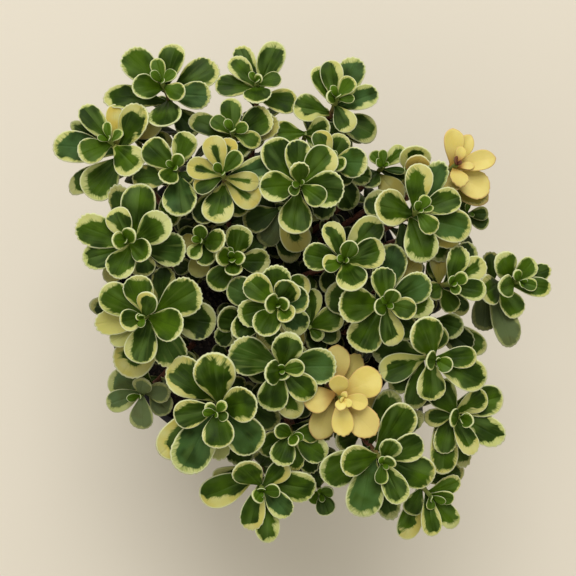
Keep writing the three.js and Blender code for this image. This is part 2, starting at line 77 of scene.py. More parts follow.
# Each shoot: name, where its tip is seen, how high it stands, how far it leans outwards in degrees,
# the coats of its leaves from the bud outwards, a letter each, and the leaves in the same order:
# direction in degrees from +X, reach and width.
shoots = [
    ("shoot_01", (-37, 88), 143, 22, "nnnnnnbwnwd", [(40, 7, 4.5), (105, 10, 5.5), (-31, 10, 7),
     (190, 11.5, 9.5), (69, 16.4, 10), (141, 19, 12), (-16, 20.3, 10.5), (19, 23, 12.5), (-88, 17.5, 12.5),
     (193, 24, 9.5), (-56, 25, 10)]),
    ("shoot_02", (-58, 65), 139, 28, "nwnwwywbwdd", [(97, 7.5, 3.5), (38, 6.5, 4), (207, 13, 10),
     (-45, 17.5, 12.5), (128, 17.5, 8.5), (81, 14.6, 6.5), (42, 19.5, 12.5), (184, 22.5, 12), (250, 24, 14),
     (155, 17, 6), (231, 25.5, 9)]),
    ("shoot_03", (-32, 54), 151, 10, "nnwnwbed", [(66, 5.8, 5), (234, 7, 7.5), (68, 15.5, 9),
     (138, 15.5, 10.5), (-33, 9, 4.5), (-82, 18, 12.5), (194, 17.5, 9), (263, 23, 9)]),
    ("shoot_04", (-13, 52), 158, 6, "nsssrscswd", [(50, 11, 6), (107, 15.5, 8.5), (78, 14.5, 7),
     (167, 14.5, 8), (210, 13, 7), (-15, 15, 7), (9, 21.7, 9), (-41, 19, 10), (261, 20, 11.5),
     (243, 22, 9)]),
    ("shoot_05", (-9, 68.5), 148, 14, "nwwwneod", [(22, 6.5, 4.5), (-23, 12, 6.5), (148, 10, 6),
     (94, 13.5, 8), (24, 17, 11), (162, 18, 8), (12, 19, 9), (-60, 11, 8)]),
    ("shoot_06", (0.5, 88), 142, 22, "nnnnwwww", [(60, 3.5, 3.5), (11, 10, 6), (-86, 8.3, 10.3),
     (136, 14, 8), (183, 16.5, 8.5), (115, 16.4, 8), (62, 18.3, 10), (-29, 18.5, 10)]),
    ("shoot_07", (32.5, 82), 144, 20, "nnnrlncblvd", [(50, 10, 6.5), (-3, 7, 3.5), (165, 4, 5),
     (101, 15.2, 8.5), (-69, 14.5, 8.5), (125, 15, 8), (7, 16.5, 9), (62, 18, 10.5), (192, 17.8, 11),
     (-43, 21.5, 11), (-54, 20, 9)]),
    ("shoot_08", (30, 57), 149, 10, "nrbndddd", [(-25, 6, 6), (114, 13, 7.5), (-4, 14, 11), (64, 11.6, 8),
     (-48, 12, 7), (-65, 21, 10), (-28, 17.5, 8.5), (262, 24, 9)]),
    ("shoot_09", (18, 48), 160, 5, "nnwwrwwnw", [(95, 8, 7), (225, 6, 4), (-38, 12, 8), (187, 16, 11),
     (47, 18.5, 11.5), (-10, 18, 13), (94, 17.5, 9.5), (126, 21.4, 12), (262, 20.5, 12)]),
    ("shoot_10", (51, 55), 137, 14, "nnwwndo", [(95, 6.5, 3.5), (134, 7.5, 5), (42, 11, 6.5), (-15, 9, 3),
     (-33, 11, 6), (222, 10.5, 8.5), (-58, 15, 9)]),
    ("shoot_11", (62, 51), 145, 18, "kx", [(66, 9, 9), (81, 12.3, 11.5)]),
    ("shoot_12", (65, 37), 157, 12, "nnnwrwbwboddd", [(60, 7, 4.5), (15, 6, 2.5), (-52, 10.5, 7),
     (20, 17.5, 9.5), (89, 19, 10), (172, 18, 13), (-20, 22, 12), (-82, 20, 12.5), (69, 22, 9),
     (-35, 20.5, 10), (167, 22, 11), (262, 25, 10), (-57, 22, 9)]),
    ("yellow_shoot_1", (80, 55.5), 143, 30, "kkyyyyyoyd", [(74, 7.5, 4), (-6, 7, 3), (-78, 8.5, 7),
     (97, 14.5, 8), (11, 15.8, 7.5), (64, 13, 6.5), (-41, 17, 11), (265, 11, 9), (195, 6, 7),
     (-49, 19, 10)]),
    ("shoot_13", (84, 36), 124, 30, "ddd", [(0, 8.5, 5.5), (-28, 9.5, 6.5), (100, 7, 5)]),
    ("shoot_14", (78, 8), 148, 18, "nnnnwddo", [(35, 7, 5), (-50, 4.5, 4), (76, 15.5, 8.5), (-13, 14, 8),
     (34, 16, 9), (62, 18, 9), (205, 10, 7), (108, 15, 8)]),
    ("shoot_15", (73.5, 7), 137, 16, "rned", [(110, 11.5, 5.5), (-60, 11.5, 7.5), (-44, 15, 7),
     (95, 16, 6)]),
    ("shoot_16", (105, 9), 130, 40, "nnnnwwwwnegg", [(110, 4.5, 4), (-15, 7, 5), (198, 8, 8.5),
     (58, 10.5, 8), (125, 13, 10), (-13, 12.8, 7.5), (22, 13.5, 7), (198, 15.5, 11.5), (268, 14, 9.5),
     (134, 16.5, 8), (263, 26, 11), (233, 24.5, 11)]),
    ("shoot_17", (52.5, 0), 159, 6, "nnnnlbnwwbddo", [(62, 6.5, 6), (200, 5.5, 6), (-14, 11.5, 8),
     (99, 15, 9), (-81, 16.5, 9), (30, 19.5, 11), (180, 19.5, 13), (236, 22, 13), (-2, 18.5, 9),
     (82, 24, 12), (171, 25, 12), (-48, 17, 9), (54, 22, 10)]),
    ("shoot_18", (72, -22), 151, 16, "nnnnwwhdddd", [(180, 4.5, 7), (-30, 6.5, 6), (112, 16.5, 13),
     (5, 16, 8), (260, 16.5, 11), (-24, 21.5, 12), (193, 23.5, 10.5), (168, 26, 12), (244, 22, 9),
     (216, 22, 8), (75, 13, 9)]),
    ("shoot_19", (81.5, -45), 140, 26, "nnnewwnnwwde", [(-20, 5, 5.5), (180, 4, 7), (128, 18.5, 11),
     (180, 14.5, 7), (44, 14, 9), (-71, 15.5, 8), (243, 16, 9), (27, 19, 11.5), (-27, 19.5, 11),
     (253, 23.5, 11), (-82, 20, 8), (150, 19, 7)]),
    ("shoot_20", (69.5, -76), 127, 32, "nnnwwdjd", [(-88, 5.5, 3.5), (-6, 9.5, 5.5), (28, 13.5, 7),
     (-87, 16, 8), (-49, 16.5, 8), (218, 11.5, 8), (238, 20, 9.5), (38, 17, 8)]),
    ("shoot_21", (71, -6), 133, 18, "dddnd", [(-20, 12, 9.5), (205, 9, 7), (-38, 19, 10), (-31, 24, 9),
     (110, 10, 8)]),
    ("shoot_22", (51, -63), 152, 20, "nnnnwnnnbnddddd", [(20, 4.5, 5), (262, 8.5, 5), (64, 10.5, 8),
     (31, 18, 10.5), (-65, 17.5, 9.5), (178, 17.5, 11.5), (-17, 21, 12.5), (68, 25.5, 13),
     (246, 23.5, 13.5), (193, 25.5, 13), (82, 29, 11), (104, 24, 9), (50, 25, 8), (-80, 23, 10),
     (156, 21, 10)]),
    ("yellow_shoot_2", (34.5, -37.5), 155, 8, "yyyyyytttooo", [(255, 4.5, 4), (60, 3, 2.5), (-11, 10.5, 6),
     (100, 10, 7), (-87, 15, 8), (31, 18, 11.5), (-47, 19.5, 11), (187, 14.5, 9.5), (95, 21.5, 9.5),
     (68, 19, 8), (238, 19, 10), (-5, 17, 7)]),
    ("shoot_23", (10.5, -26), 157, 6, "nnnwnnbvw", [(10, 9, 6.5), (195, 6, 9), (-75, 4, 5), (76, 14.5, 11),
     (-40, 16.5, 10), (253, 17, 11), (4, 22, 13), (160, 22, 14), (-75, 20, 10)]),
    ("shoot_24", (9, -0.5), 161, 2, "nnwwnwbwncrbwno", [(20, 4, 5), (160, 5.5, 7), (-44, 8, 7),
     (58, 11.5, 9.5), (238, 13, 10), (138, 16.5, 10), (19, 13, 10), (195, 16.5, 10), (92, 16, 10.5),
     (-42, 15, 10), (42, 16, 9), (158, 21.5, 11), (261, 18, 11), (201, 21.5, 9), (-62, 19, 9)]),
    ("shoot_25", (35.5, 17.5), 159, 4, "nrwwwnl", [(70, 8, 6.5), (193, 9, 6.5), (113, 16.5, 8),
     (-67, 12, 11), (16, 16.5, 11), (171, 16.5, 10), (50, 21.5, 10.5)]),
    ("shoot_26", (-9, 18), 147, 4, "nnnnwwnd", [(10, 4.5, 5), (110, 5, 3), (165, 6.5, 7), (-85, 6.5, 6.5),
     (74, 14, 10), (-4, 15, 9.5), (235, 14, 9.5), (35, 16, 8)]),
    ("shoot_27", (-21.5, 25), 144, 6, "nnwndoo", [(92, 6.5, 5.5), (-5, 4, 2.5), (237, 8, 6), (2, 10.5, 8.5),
     (-74, 10.5, 7.5), (178, 8, 6), (263, 14.5, 8)]),
    ("shoot_28", (-51, 25), 153, 16, "nnnwwwwwnvdeo", [(60, 5, 6), (175, 5.5, 6.5), (-30, 11, 8.5),
     (111, 14, 9.5), (252, 15, 10.5), (28, 19, 12), (161, 21.5, 12), (203, 19, 10), (77, 23.5, 13),
     (-9, 24, 12.5), (102, 23, 9), (-65, 16, 9), (238, 17.5, 8)]),
    ("shoot_29", (-44.5, -5), 155, 14, "nlwwnwwwviiewxd", [(178, 3, 2.5), (73, 9.5, 8), (194, 9.5, 8),
     (99, 17, 11), (-18, 17, 12), (147, 20, 12), (263, 18.5, 12), (27, 25.5, 14), (-54, 24, 12.5),
     (189, 19.5, 9.5), (219, 16.5, 8), (66, 22, 9), (-5, 29, 14), (250, 24.5, 15), (167, 22, 8)]),
    ("shoot_30", (-15.5, -43), 156, 14, "nnnnwnbwwbxidd", [(50, 5.5, 4), (140, 5, 4), (-30, 5, 4),
     (-84, 14, 11.5), (183, 17, 10.5), (16, 16.5, 13), (-41, 22.5, 14), (94, 23, 15), (133, 27, 14),
     (239, 27.5, 15), (217, 28, 13), (-87, 19, 9), (-10, 25.5, 11), (-62, 24, 12)]),
    ("shoot_31", (-45.5, -36), 129, 24, "gggqqgdd", [(78, 7, 7.5), (-86, 13.5, 9.5), (8, 12, 8),
     (196, 14, 8.5), (150, 14.5, 11), (-30, 13.5, 9), (172, 12, 8), (112, 13, 9)]),
    ("shoot_32", (14.5, -52.5), 144, 12, "nnwnwwddd", [(-60, 3.5, 4.5), (150, 7, 6), (11, 11.5, 7.5),
     (244, 12.5, 9.5), (-30, 16, 10), (-85, 14, 8), (205, 14, 9), (8, 17, 9), (-58, 17, 8)]),
    ("shoot_33", (2.5, -74), 141, 24, "nnrnblwwled", [(3, 7.5, 5.5), (235, 5, 5.5), (47, 15, 8.5),
     (128, 14.5, 11), (-41, 15, 9), (252, 16.5, 9), (2, 21.5, 12), (-82, 21, 9.5), (187, 24.5, 12),
     (165, 20, 8), (78, 15, 10)]),
    ("shoot_34", (26, -75), 124, 24, "pppdd", [(20, 5, 5), (-70, 9, 7.5), (225, 5.5, 4.5), (100, 11, 8),
     (80, 19, 9)]),
    ("shoot_35", (10, 38), 141, 4, "dsgd", [(205, 16, 10), (-62, 19, 11), (246, 16, 9), (-78, 22, 9)]),
    ("shoot_36", (-4, -7), 141, 4, "ddd", [(168, 11.5, 10), (215, 14, 8), (250, 9, 7)]),
    ("shoot_37", (21.5, -9), 145, 4, "rwnd", [(84, 15.5, 7), (20, 14, 9.5), (-42, 7, 5), (-20, 13, 7)]),
    ("shoot_38", (20, 68), 137, 14, "wend", [(182, 13, 9), (15, 10, 9), (-25, 9, 8), (0, 15, 9)]),
    ("shoot_39", (-48, 66), 133, 18, "et", [(-7, 15, 7.5), (36, 13, 9)]),
]


def linearColour(code):
    levels = [int(code[i:i + 2], 16) / 255 for i in (1, 3, 5)]
    return (*[c / 12.92 if c <= 0.04045 else ((c + 0.055) / 1.055) ** 2.4 for c in levels], 1)


def addNode(tree, kind, settings=None, *feeds):
    # Adds one node, a shader's unless its kind says otherwise. A word as the settings is its
    # operation. Feeds go to its inputs in order: None leaves one as it is, a dictionary names the
    # inputs it feeds, and a list is a sum to be worked out first, such as ["ADD", 1, 2].
    node = tree.nodes.new(kind if "Node" in kind else "ShaderNode" + kind)
    if isinstance(settings, str):
        settings = {"operation": settings}
    for name, value in (settings or {}).items():
        setattr(node, name, value)
    sockets = [socket for socket in node.inputs if socket.enabled]
    pairs = []
    for place, feed in enumerate(feeds):
        pairs += [(node.inputs[name], value) for name, value in feed.items()] \
            if isinstance(feed, dict) else [(sockets[place], feed)]
    for socket, feed in pairs:
        if isinstance(feed, list):
            feed = addNode(tree, "Math", *feed)
        if isinstance(feed, bpy.types.Node):
            feed = next(out for out in feed.outputs if out.enabled)
        if isinstance(feed, bpy.types.NodeSocket):
            tree.links.new(feed, socket)
        elif feed is not None:
            socket.default_value = feed
    return node


# Settings that many nodes share
eased = {"interpolation_type": "SMOOTHSTEP"}
vectors = {"data_type": "FLOAT_VECTOR"}
fourWays = {"noise_dimensions": "4D"}


def newTree(name, values):
    # A tree with an input for each value that it will be given, of that value's kind.
    tree = bpy.data.node_groups.new(name, "GeometryNodeTree")
    sockets = [("Geometry", "INPUT", "Geometry"), ("Geometry", "OUTPUT", "Geometry")]
    sockets += [(label, "INPUT", type(value).__name__.capitalize()) for label, value in values.items()]
    for label, way, kind in sockets:
        tree.interface.new_socket(name=label, in_out=way, socket_type="NodeSocket" + kind)
    add = partial(addNode, tree)
    return tree, add, add("NodeGroupInput").outputs


def endTree(add, given, grown):
    real = add("GeometryNodeRealizeInstances", None, grown)
    painted = add("GeometryNodeSetMaterial", None, real, {"Material": given["Material"]})
    add("NodeGroupOutput", None, painted)


def placeObject(name, data):
    obj = bpy.data.objects.new(name, data)
    bpy.context.scene.collection.objects.link(obj)
    return obj


def plainMesh(obj, name):
    # The object's mesh as its modifiers leave it.
    graph = bpy.context.evaluated_depsgraph_get()
    mesh = bpy.data.meshes.new_from_object(obj.evaluated_get(graph), depsgraph=graph)
    mesh.name = name
    return mesh


def grow(obj, tree, values, name):
    # Runs a tree on an object and keeps the result as a plain mesh object.
    modifier = obj.modifiers.new("grow", "NODES")
    modifier.node_group = tree
    for item in tree.interface.items_tree:
        if item.in_out == "INPUT" and item.name in values:
            modifier[item.identifier] = values[item.name]
    grown = placeObject(name, plainMesh(obj, name))
    bpy.data.objects.remove(obj)
    return grown


def meshObject(name, places, faces=(), edges=()):
    mesh = bpy.data.meshes.new(name)
    mesh.from_pydata([Vector(place) * mm for place in places], edges, faces)
    mesh.shade_smooth()
    return placeObject(name, mesh)


def solidObject(name, shape, **sizes):
    # An object of one of bmesh's own solids.
    bm = bmesh.new()
    shape(bm, **sizes)
    mesh = bpy.data.meshes.new(name)
    bm.to_mesh(mesh)
    bm.free()
    return placeObject(name, mesh)


def addVectors(obj, name, values):
    layer = obj.data.attributes.new(name, "FLOAT_VECTOR", "POINT")
    layer.data.foreach_set("vector", [part for value in values for part in value])


def bridge(low, high, sides):
    # Faces between two loops of points. A loop of one point is a pole.
    faces = []
    for turn in range(sides):
        after = (turn + 1) % sides
        corners = [low[turn % len(low)], low[after % len(low)], high[after % len(high)],
                   high[turn % len(high)]]
        faces.append(list(dict.fromkeys(corners)))
    return faces


def lathe(profile, sides):
    # Turns a profile of (radius, height) about the upright axis; a radius of 0 is a pole.
    places, rings = [], []
    for radius, height in profile:
        turns = 1 if radius == 0 else sides
        rings.append(range(len(places), len(places) + turns))
        for turn in range(turns):
            angle = 2 * math.pi * turn / sides
            places.append((radius * math.cos(angle), radius * math.sin(angle), height))
    return places, [face for low, high in zip(rings, rings[1:]) for face in bridge(low, high, sides)]


def finishPiece(obj, node):
    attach(obj, "root")
    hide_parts(node)


# Where the eye stands over the table, and the level through the leaves on which the list of shoots
# is read: a thing at another height looks nearer to the eye's axis or farther from it.
view = {"eye": (13, 6.5, 600), "level": 140, "lens": 72.5, "sensor": 36}


def atHeight(seen, z):
    share = (view["eye"][2] - z) / (view["eye"][2] - view["level"])
    return [view["eye"][i] + (seen[i] - view["eye"][i]) * share for i in (0, 1)]


def heading(degrees):
    return Vector((math.cos(math.radians(degrees)), math.sin(math.radians(degrees)), 0))


def soilEdge(z):
    slope = (pot["underRimRadius"] - pot["baseRadius"]) / (pot["height"] - pot["rimDepth"])
    return pot["baseRadius"] - pot["wall"] + slope * z - soil["gap"]


def soilAt(radius):
    return soil["top"] + soil["mound"] * (1 - (radius / soilEdge(soil["top"])) ** 2)


stems = {
    "radius": 1.3, "swing": 0.42, "rootDepth": 6, "riseAbove": 2.5, "footSpacing": 5.3, "gap": 0.3,
    "crownSpread": 0.52, "plantMiddle": (15, -3), "crownMiddle": (3, -1), "footReaches": (2.5, 5, 7.5),
    "points": 26, "sides": 10, "step": 0.9, "ringSpacing": 7.5, "ringHeight": 0.2,
}


def bezier(points, share):
    a, b, c, d = points
    rest = 1 - share
    return a * rest ** 3 + b * 3 * rest ** 2 * share + c * 3 * rest * share ** 2 + d * share ** 3


def stemLine(seen, top, lean, nudge):
    # A stem rises straight out of the mix, swings outwards and ends along the rosette's own axis.
    tip = Vector((*atHeight(seen, top), top))
    crown, middle = stems["crownMiddle"], stems["plantMiddle"]
    foot = [crown[i] + stems["crownSpread"] * (seen[i] - middle[i]) + nudge[i] for i in (0, 1)]
    rise = Vector((*foot, soilAt(math.hypot(*foot)) + stems["riseAbove"]))
    axis = Vector((tip.x - crown[0], tip.y - crown[1], 0)).normalized() * math.sin(math.radians(lean))
    axis.z = math.cos(math.radians(lean))
    pull = stems["swing"] * (tip - rise).length
    bends = (rise, rise + Vector((0, 0, pull)), tip - axis * pull, tip)
    line = [Vector((*foot, soil["top"] - stems["rootDepth"]))]
    line += [bezier(bends, i / stems["points"]) for i in range(stems["points"] + 1)]
    return {"foot": Vector(foot), "axis": axis, "line": line}


def stemGap(stem, other):
    return min((a - b).length for a in stem["line"][::2] for b in other["line"])


def layStems():
    # Each stem takes the first foot where it stands clear of those set before it.
    nudges = [(0, 0)]
    for reach in stems["footReaches"]:
        for turn in range(8):
            angle = turn * math.pi / 4
            nudges.append((reach * math.cos(angle), reach * math.sin(angle)))
    laid = []
    for name, seen, top, lean, letters, sizes in shoots:
        for nudge in nudges:
            stem = stemLine(seen, top, lean, nudge)
            near = [other for other in laid if (other["foot"] - stem["foot"]).length < stems["footSpacing"]]
            clear = 2 * stems["radius"] + stems["gap"]
            if not near and all(stemGap(stem, other) > clear for other in laid):
                break
        blades = [(*size, coat) for size, coat in zip(sizes, letters)]
        stem.update(name=name, seen=seen, top=top, blades=blades)
        laid.append(stem)
    return laid


def downStem(line, depth):
    # The point and the direction of a stem a given way down from its bud.
    for above, below in zip(line[::-1], line[-2::-1]):
        step = (above - below).length
        if depth <= step or below is line[0]:
            return above.lerp(below, min(1, depth / step)), (above - below) / step
        depth -= step


leaves = {
    "ratio": 1.55, "thickness": 1.15, "neck": 0.13, "wedge": 0.8, "broadest": 0.68, "roundness": 2.5,
    "heart": 0.6, "fullness": 1.1, "facing": 0.4, "firstDepth": 0.6, "depthGrowth": 0.04,
    "roll": (-0.12, 0.12), "arch": 0.16, "cup": 0.09, "steepest": 62, "flattest": 8,
    "ripple": 0.9, "rippleSize": 6.0, "toothSpacing": 3.2, "toothDepth": 0.26, "leastTooth": 0.05,
    "toothedFrom": 7.5, "toothedWidth": 12, "clearance": 0.25, "seed": 11,
}
# What a leaf tries, in this order, to lie clear of the others: shorter, turned or lifted
fitting = {"shares": (1, 0.86, 0.74), "turns": (0, 6, -6, 12, -12),
           "lifts": (0, 1.5, -1.5, 3, -3, 4.5, 6, -4.5, 8, 10)}
shade = {"reach": 22, "from": 8, "fall": 36, "most": 0.8}


def breadth(u):
    # The leaf's breadth along it, as a share of its width.
    if u <= leaves["broadest"]:
        wave = (1 - math.cos(math.pi * u / leaves["broadest"])) / 2
        return leaves["neck"] + (1 - leaves["neck"]) * wave ** leaves["wedge"]
    out = (u - leaves["broadest"]) / (1 - leaves["broadest"])
    return math.sqrt(max(0, 1 - out ** leaves["roundness"]))


def leafDepth(place):
    # How far below the bud a leaf leaves the stem.
    return leaves["firstDepth"] + place + leaves["depthGrowth"] * place * place


def makeLeaf(foot, tip, width, axis, roll):
    along = tip - foot
    length = along.length
    along.normalize()
    across = axis.cross(along).normalized()
    across = Matrix.Rotation(roll, 3, along) @ across
    return {"foot": foot, "along": along, "across": across, "up": along.cross(across),
            "length": length, "width": width}


def bladeTree(leaf):
    # A coarse closed blade, to tell whether two leaves cross.
    thick = leaves["thickness"] / 2 + leaves["clearance"]
    rows = []
    for u in (0.24, 0.45, 0.65, 0.85, 0.97):
        half = breadth(u) / 2
        for side, lift in ((-1, 0), (0, thick), (1, 0), (0, -thick)):
            rise = leaves["arch"] * leaf["length"] * u * (1 - u)
            rise += leaves["cup"] * leaf["width"] * (2 * side * half) ** 2 + lift
            rows.append(leaf["foot"] + leaf["along"] * u * leaf["length"]
                        + leaf["across"] * side * half * leaf["width"] + leaf["up"] * rise)
    faces = [(i, i + 4, 4 * (i // 4) + 4 + (i + 1) % 4, 4 * (i // 4) + (i + 1) % 4) for i in range(16)]
    faces += [(0, 1, 2, 3), (16, 17, 18, 19)]
    return rows, BVHTree.FromPolygons(rows, faces)


def tubeTree(line, radius):
    places = [place + Vector((radius * math.cos(turn), radius * math.sin(turn), 0))
              for place in line for turn in (0, 2.1, 4.2)]
    faces = [(3 * i + k, 3 * i + (k + 1) % 3, 3 * i + 3 + (k + 1) % 3, 3 * i + 3 + k)
             for i in range(len(line) - 1) for k in range(3)]
    return places, BVHTree.FromPolygons(places, faces)


class Room:
    # What is already in place, found by the squares of a grid over the table.
    square = 12

    def __init__(self):
        self.held = {}

    def squares(self, places):
        spans = [sorted(int(place[i] // self.square) for place in places) for i in (0, 1)]
        return [(x, y) for x in range(spans[0][0], spans[0][-1] + 1)
                for y in range(spans[1][0], spans[1][-1] + 1)]

    def put(self, places, tree, owner):
        for key in self.squares(places):
            self.held.setdefault(key, []).append((tree, owner))

    def free(self, places, tree, owner=None):
        near = [pair for key in self.squares(places) for pair in self.held.get(key, [])]
        return not any(who != owner and tree.overlap(held) for held, who in near)


def leafTip(seen, foot, direction, reach, width, share, turn, lift):
    # Where a leaf's tip stands: a leaf that looks shorter than its width asks for is the steeper one.
    towards = math.radians(direction + turn)
    spot = (seen[0] + reach * share * math.cos(towards), seen[1] + reach * share * math.sin(towards))
    flat = atHeight(spot, foot.z)
    away = math.hypot(flat[0] - foot.x, flat[1] - foot.y)
    pitch = math.acos(min(math.cos(math.radians(leaves["flattest"])), away / (leaves["ratio"] * width)))
    z = foot.z + away * math.tan(min(pitch, math.radians(leaves["steepest"]))) + lift
    return Vector((*atHeight(spot, z), z))


def openLeaves(laid):
    # The lowest shoots open their leaves first, and those above fit theirs over them. A leaf that
    # finds no clear place takes its first one.
    draw = random.Random(leaves["seed"])
    tries = [(share, turn, lift) for share in fitting["shares"] for turn in fitting["turns"]
             for lift in fitting["lifts"]]
    room = Room()
    for stem in laid:
        room.put(*tubeTree(stem["line"], stems["radius"]), stem["name"])
    for stem in sorted(laid, key=lambda one: one["top"]):
        stem["leaves"] = []
        own = Room()
        facing = Vector((0, 0, 1)).lerp(stem["axis"], leaves["facing"]).normalized()
        for place, (direction, reach, width, coat) in enumerate(stem["blades"]):
            foot = downStem(stem["line"], leafDepth(place))[0]
            roll = draw.uniform(*leaves["roll"])
            first = None
            for share, turn, lift in tries:
                tip = leafTip(stem["seen"], foot, direction, reach, width, share, turn, lift)
                leaf = makeLeaf(foot, tip, leaves["fullness"] * width * math.sqrt(share), facing, roll)
                first = first or leaf
                places, tree = bladeTree(leaf)
                if room.free(places, tree, stem["name"]) and own.free(places, tree):
                    break
            else:
                leaf = first
                places, tree = bladeTree(leaf)
            own.put(places, tree, place)
            leaf.update(coat=coat, rank=place, low=False)
            stem["leaves"].append(leaf)
        for leaf in stem["leaves"]:
            room.put(*bladeTree(leaf), stem["name"] + " leaf")
    return room


# The pair is the side, the width and the pitch of each of its leaves; the turn and the tilt are how
# far they stray, in degrees.
buds = {
    "pair": ((0, 3.6, 46), (180, 2.4, 70)), "turn": (-25, 25), "tilt": (-8, 8), "sizes": (0.8, 1.15),
    "sunk": 0.4, "seenWithin": 11, "coats": {"yellow_shoot_1": "z", "yellow_shoot_2": "y"}, "seed": 23,
}


def openBuds(laid):
    # A folded pair of young leaves stands over each bud, one of them ahead of the other. A shoot
    # whose first leaf already reaches far has its bud hidden under a neighbour.
    draw = random.Random(buds["seed"])
    for stem in laid:
        if stem["blades"][0][1] > buds["seenWithin"]:
            continue
        start = stem["blades"][0][0] + 90 + draw.uniform(*buds["turn"])
        for side, width, pitch in buds["pair"]:
            rise = math.radians(pitch + draw.uniform(*buds["tilt"]))
            out = heading(start + side) * math.cos(rise)
            foot = stem["line"][-1] - stem["axis"] * buds["sunk"]
            width *= draw.uniform(*buds["sizes"])
            tip = foot + (out + stem["axis"] * math.sin(rise)) * leaves["ratio"] * width
            leaf = makeLeaf(foot, tip, width, stem["axis"], 0)
            leaf.update(coat=buds["coats"].get(stem["name"], "u"), rank=0, low=True, shade=0)
            stem["leaves"].append(leaf)


def shadeBelow(laid):
    # A leaf that stands below its neighbours' tips gets less light and is a darker one.
    for stem in laid:
        for leaf in stem["leaves"]:
            middle = leaf["foot"] + leaf["along"] * 0.6 * leaf["length"]
            near = [other["line"][-1].z for other in laid
                    if (other["line"][-1].xy - middle.xy).length < shade["reach"]]
            below = max([middle.z, *near]) - middle.z
            leaf["shade"] = min(shade["most"], max(0, below - shade["from"]) / shade["fall"])


# The tries are a turn about the stem and a pitch from it, in degrees: each leaf takes the first that
# is clear.
lowLeaves = {
    "start": 6, "spacing": 7.5, "width": 9, "leastWidth": 5.5, "dwindle": 0.4, "aboveSoil": 9,
    "edge": 50, "rank": 9, "coats": "dddeen", "sizes": (0.85, 1.15), "steps": (0.9, 1.15),
    "turn": (-8, 8), "roll": (-0.2, 0.2), "seed": 5,
    "tries": ((0, 25), (25, 35), (-25, 15), (50, 5), (-50, 40), (75, 25), (15, -15)),
}


def coverOver(laid):
    # The upper leaves as one net, to tell what they hide from an eye above.
    places, faces = [], []
    for leaf in [leaf for stem in laid for leaf in stem["leaves"]]:
        count = len(places)
        faces += [[count + 4 * i + k for k in (0, 4, 6, 2)] for i in range(4)]
        places += bladeTree(leaf)[0]
    return BVHTree.FromPolygons(places, faces)


def openLowLeaves(laid, room):
    # Pairs of leaves down each stem, crosswise and smaller towards the mix. Beyond the pot's rim they
    # last only in the shade, under the upper leaves.
    draw = random.Random(lowLeaves["seed"])
    cover, eye = coverOver(laid), Vector(view["eye"])

    def hidden(place):
        # A leaf 2 mm over the place or more hides it.
        return cover.ray_cast(eye, (place - eye).normalized(), (place - eye).length - 2)[0]

    for stem in laid:
        length = sum((a - b).length for a, b in zip(stem["line"], stem["line"][1:]))
        depth = leafDepth(len(stem["blades"]) - 1) + lowLeaves["start"]
        towards = draw.uniform(0, 180)
        while True:
            foot, axis = downStem(stem["line"], depth)
            if foot.z < soil["top"] + lowLeaves["aboveSoil"] or depth > length:
                break
            for side in (0, 180):
                share = 1 - lowLeaves["dwindle"] * depth / length
                width = lowLeaves["width"] * share * draw.uniform(*lowLeaves["sizes"])
                width = max(lowLeaves["leastWidth"], width)
                for turn, pitch in lowLeaves["tries"]:
                    out = heading(towards + side + turn)
                    out = (out - axis * out.dot(axis)).normalized()
                    out = out * math.cos(math.radians(pitch)) + axis * math.sin(math.radians(pitch))
                    tip = foot + out * leaves["ratio"] * width
                    middle = foot.lerp(tip, 0.6)
                    if middle.xy.length > lowLeaves["edge"] and not (hidden(tip) and hidden(middle)):
                        continue
                    leaf = makeLeaf(foot, tip, width, axis, draw.uniform(*lowLeaves["roll"]))
                    places, tree = bladeTree(leaf)
                    if room.free(places, tree, stem["name"]):
                        room.put(places, tree, stem["name"] + " leaf")
                        leaf.update(coat=draw.choice(lowLeaves["coats"]), rank=lowLeaves["rank"], low=True)
                        stem["leaves"].append(leaf)
                        break
            towards += 90 + draw.uniform(*lowLeaves["turn"])
            depth += lowLeaves["spacing"] * draw.uniform(*lowLeaves["steps"])


# The blades that the leaves are copies of: steps along the near and the far part of the outline,
# how far the tip is drawn out, and the rings of the upper and of the under side. A ring is its share
# of the way out and its height as a share of the thickness.
underRings = ((0.96, -0.3), (0.75, -0.45), (0, -0.5))
bladeKinds = {
    "upper": (8, 14, 1, ((0, 0.42), (0.3, 0.42), (0.55, 0.42), (0.75, 0.38), (0.88, 0.34), (0.955, 0.36),
                         (1, 0.05)), underRings),
    "pointed": (8, 11, 1.35, ((0, 0.42), (0.3, 0.42), (0.6, 0.4), (0.85, 0.34), (0.955, 0.36), (1, 0.05)),
                underRings),
    "lower": (4, 6, 1, ((0, 0.42), (0.5, 0.42), (0.85, 0.34), (1, 0.05)), ((0.8, -0.4), (0, -0.5))),
}


def edgeGap(place, edge):
    # How far a place on the blade is from its outline.
    gaps = []
    for a, b in zip(edge, edge[1:]):
        span = b - a
        share = max(0, min(1, (place - a).dot(span) / span.length_squared))
        gaps.append((place - a - span * share).length)
    return min(gaps)


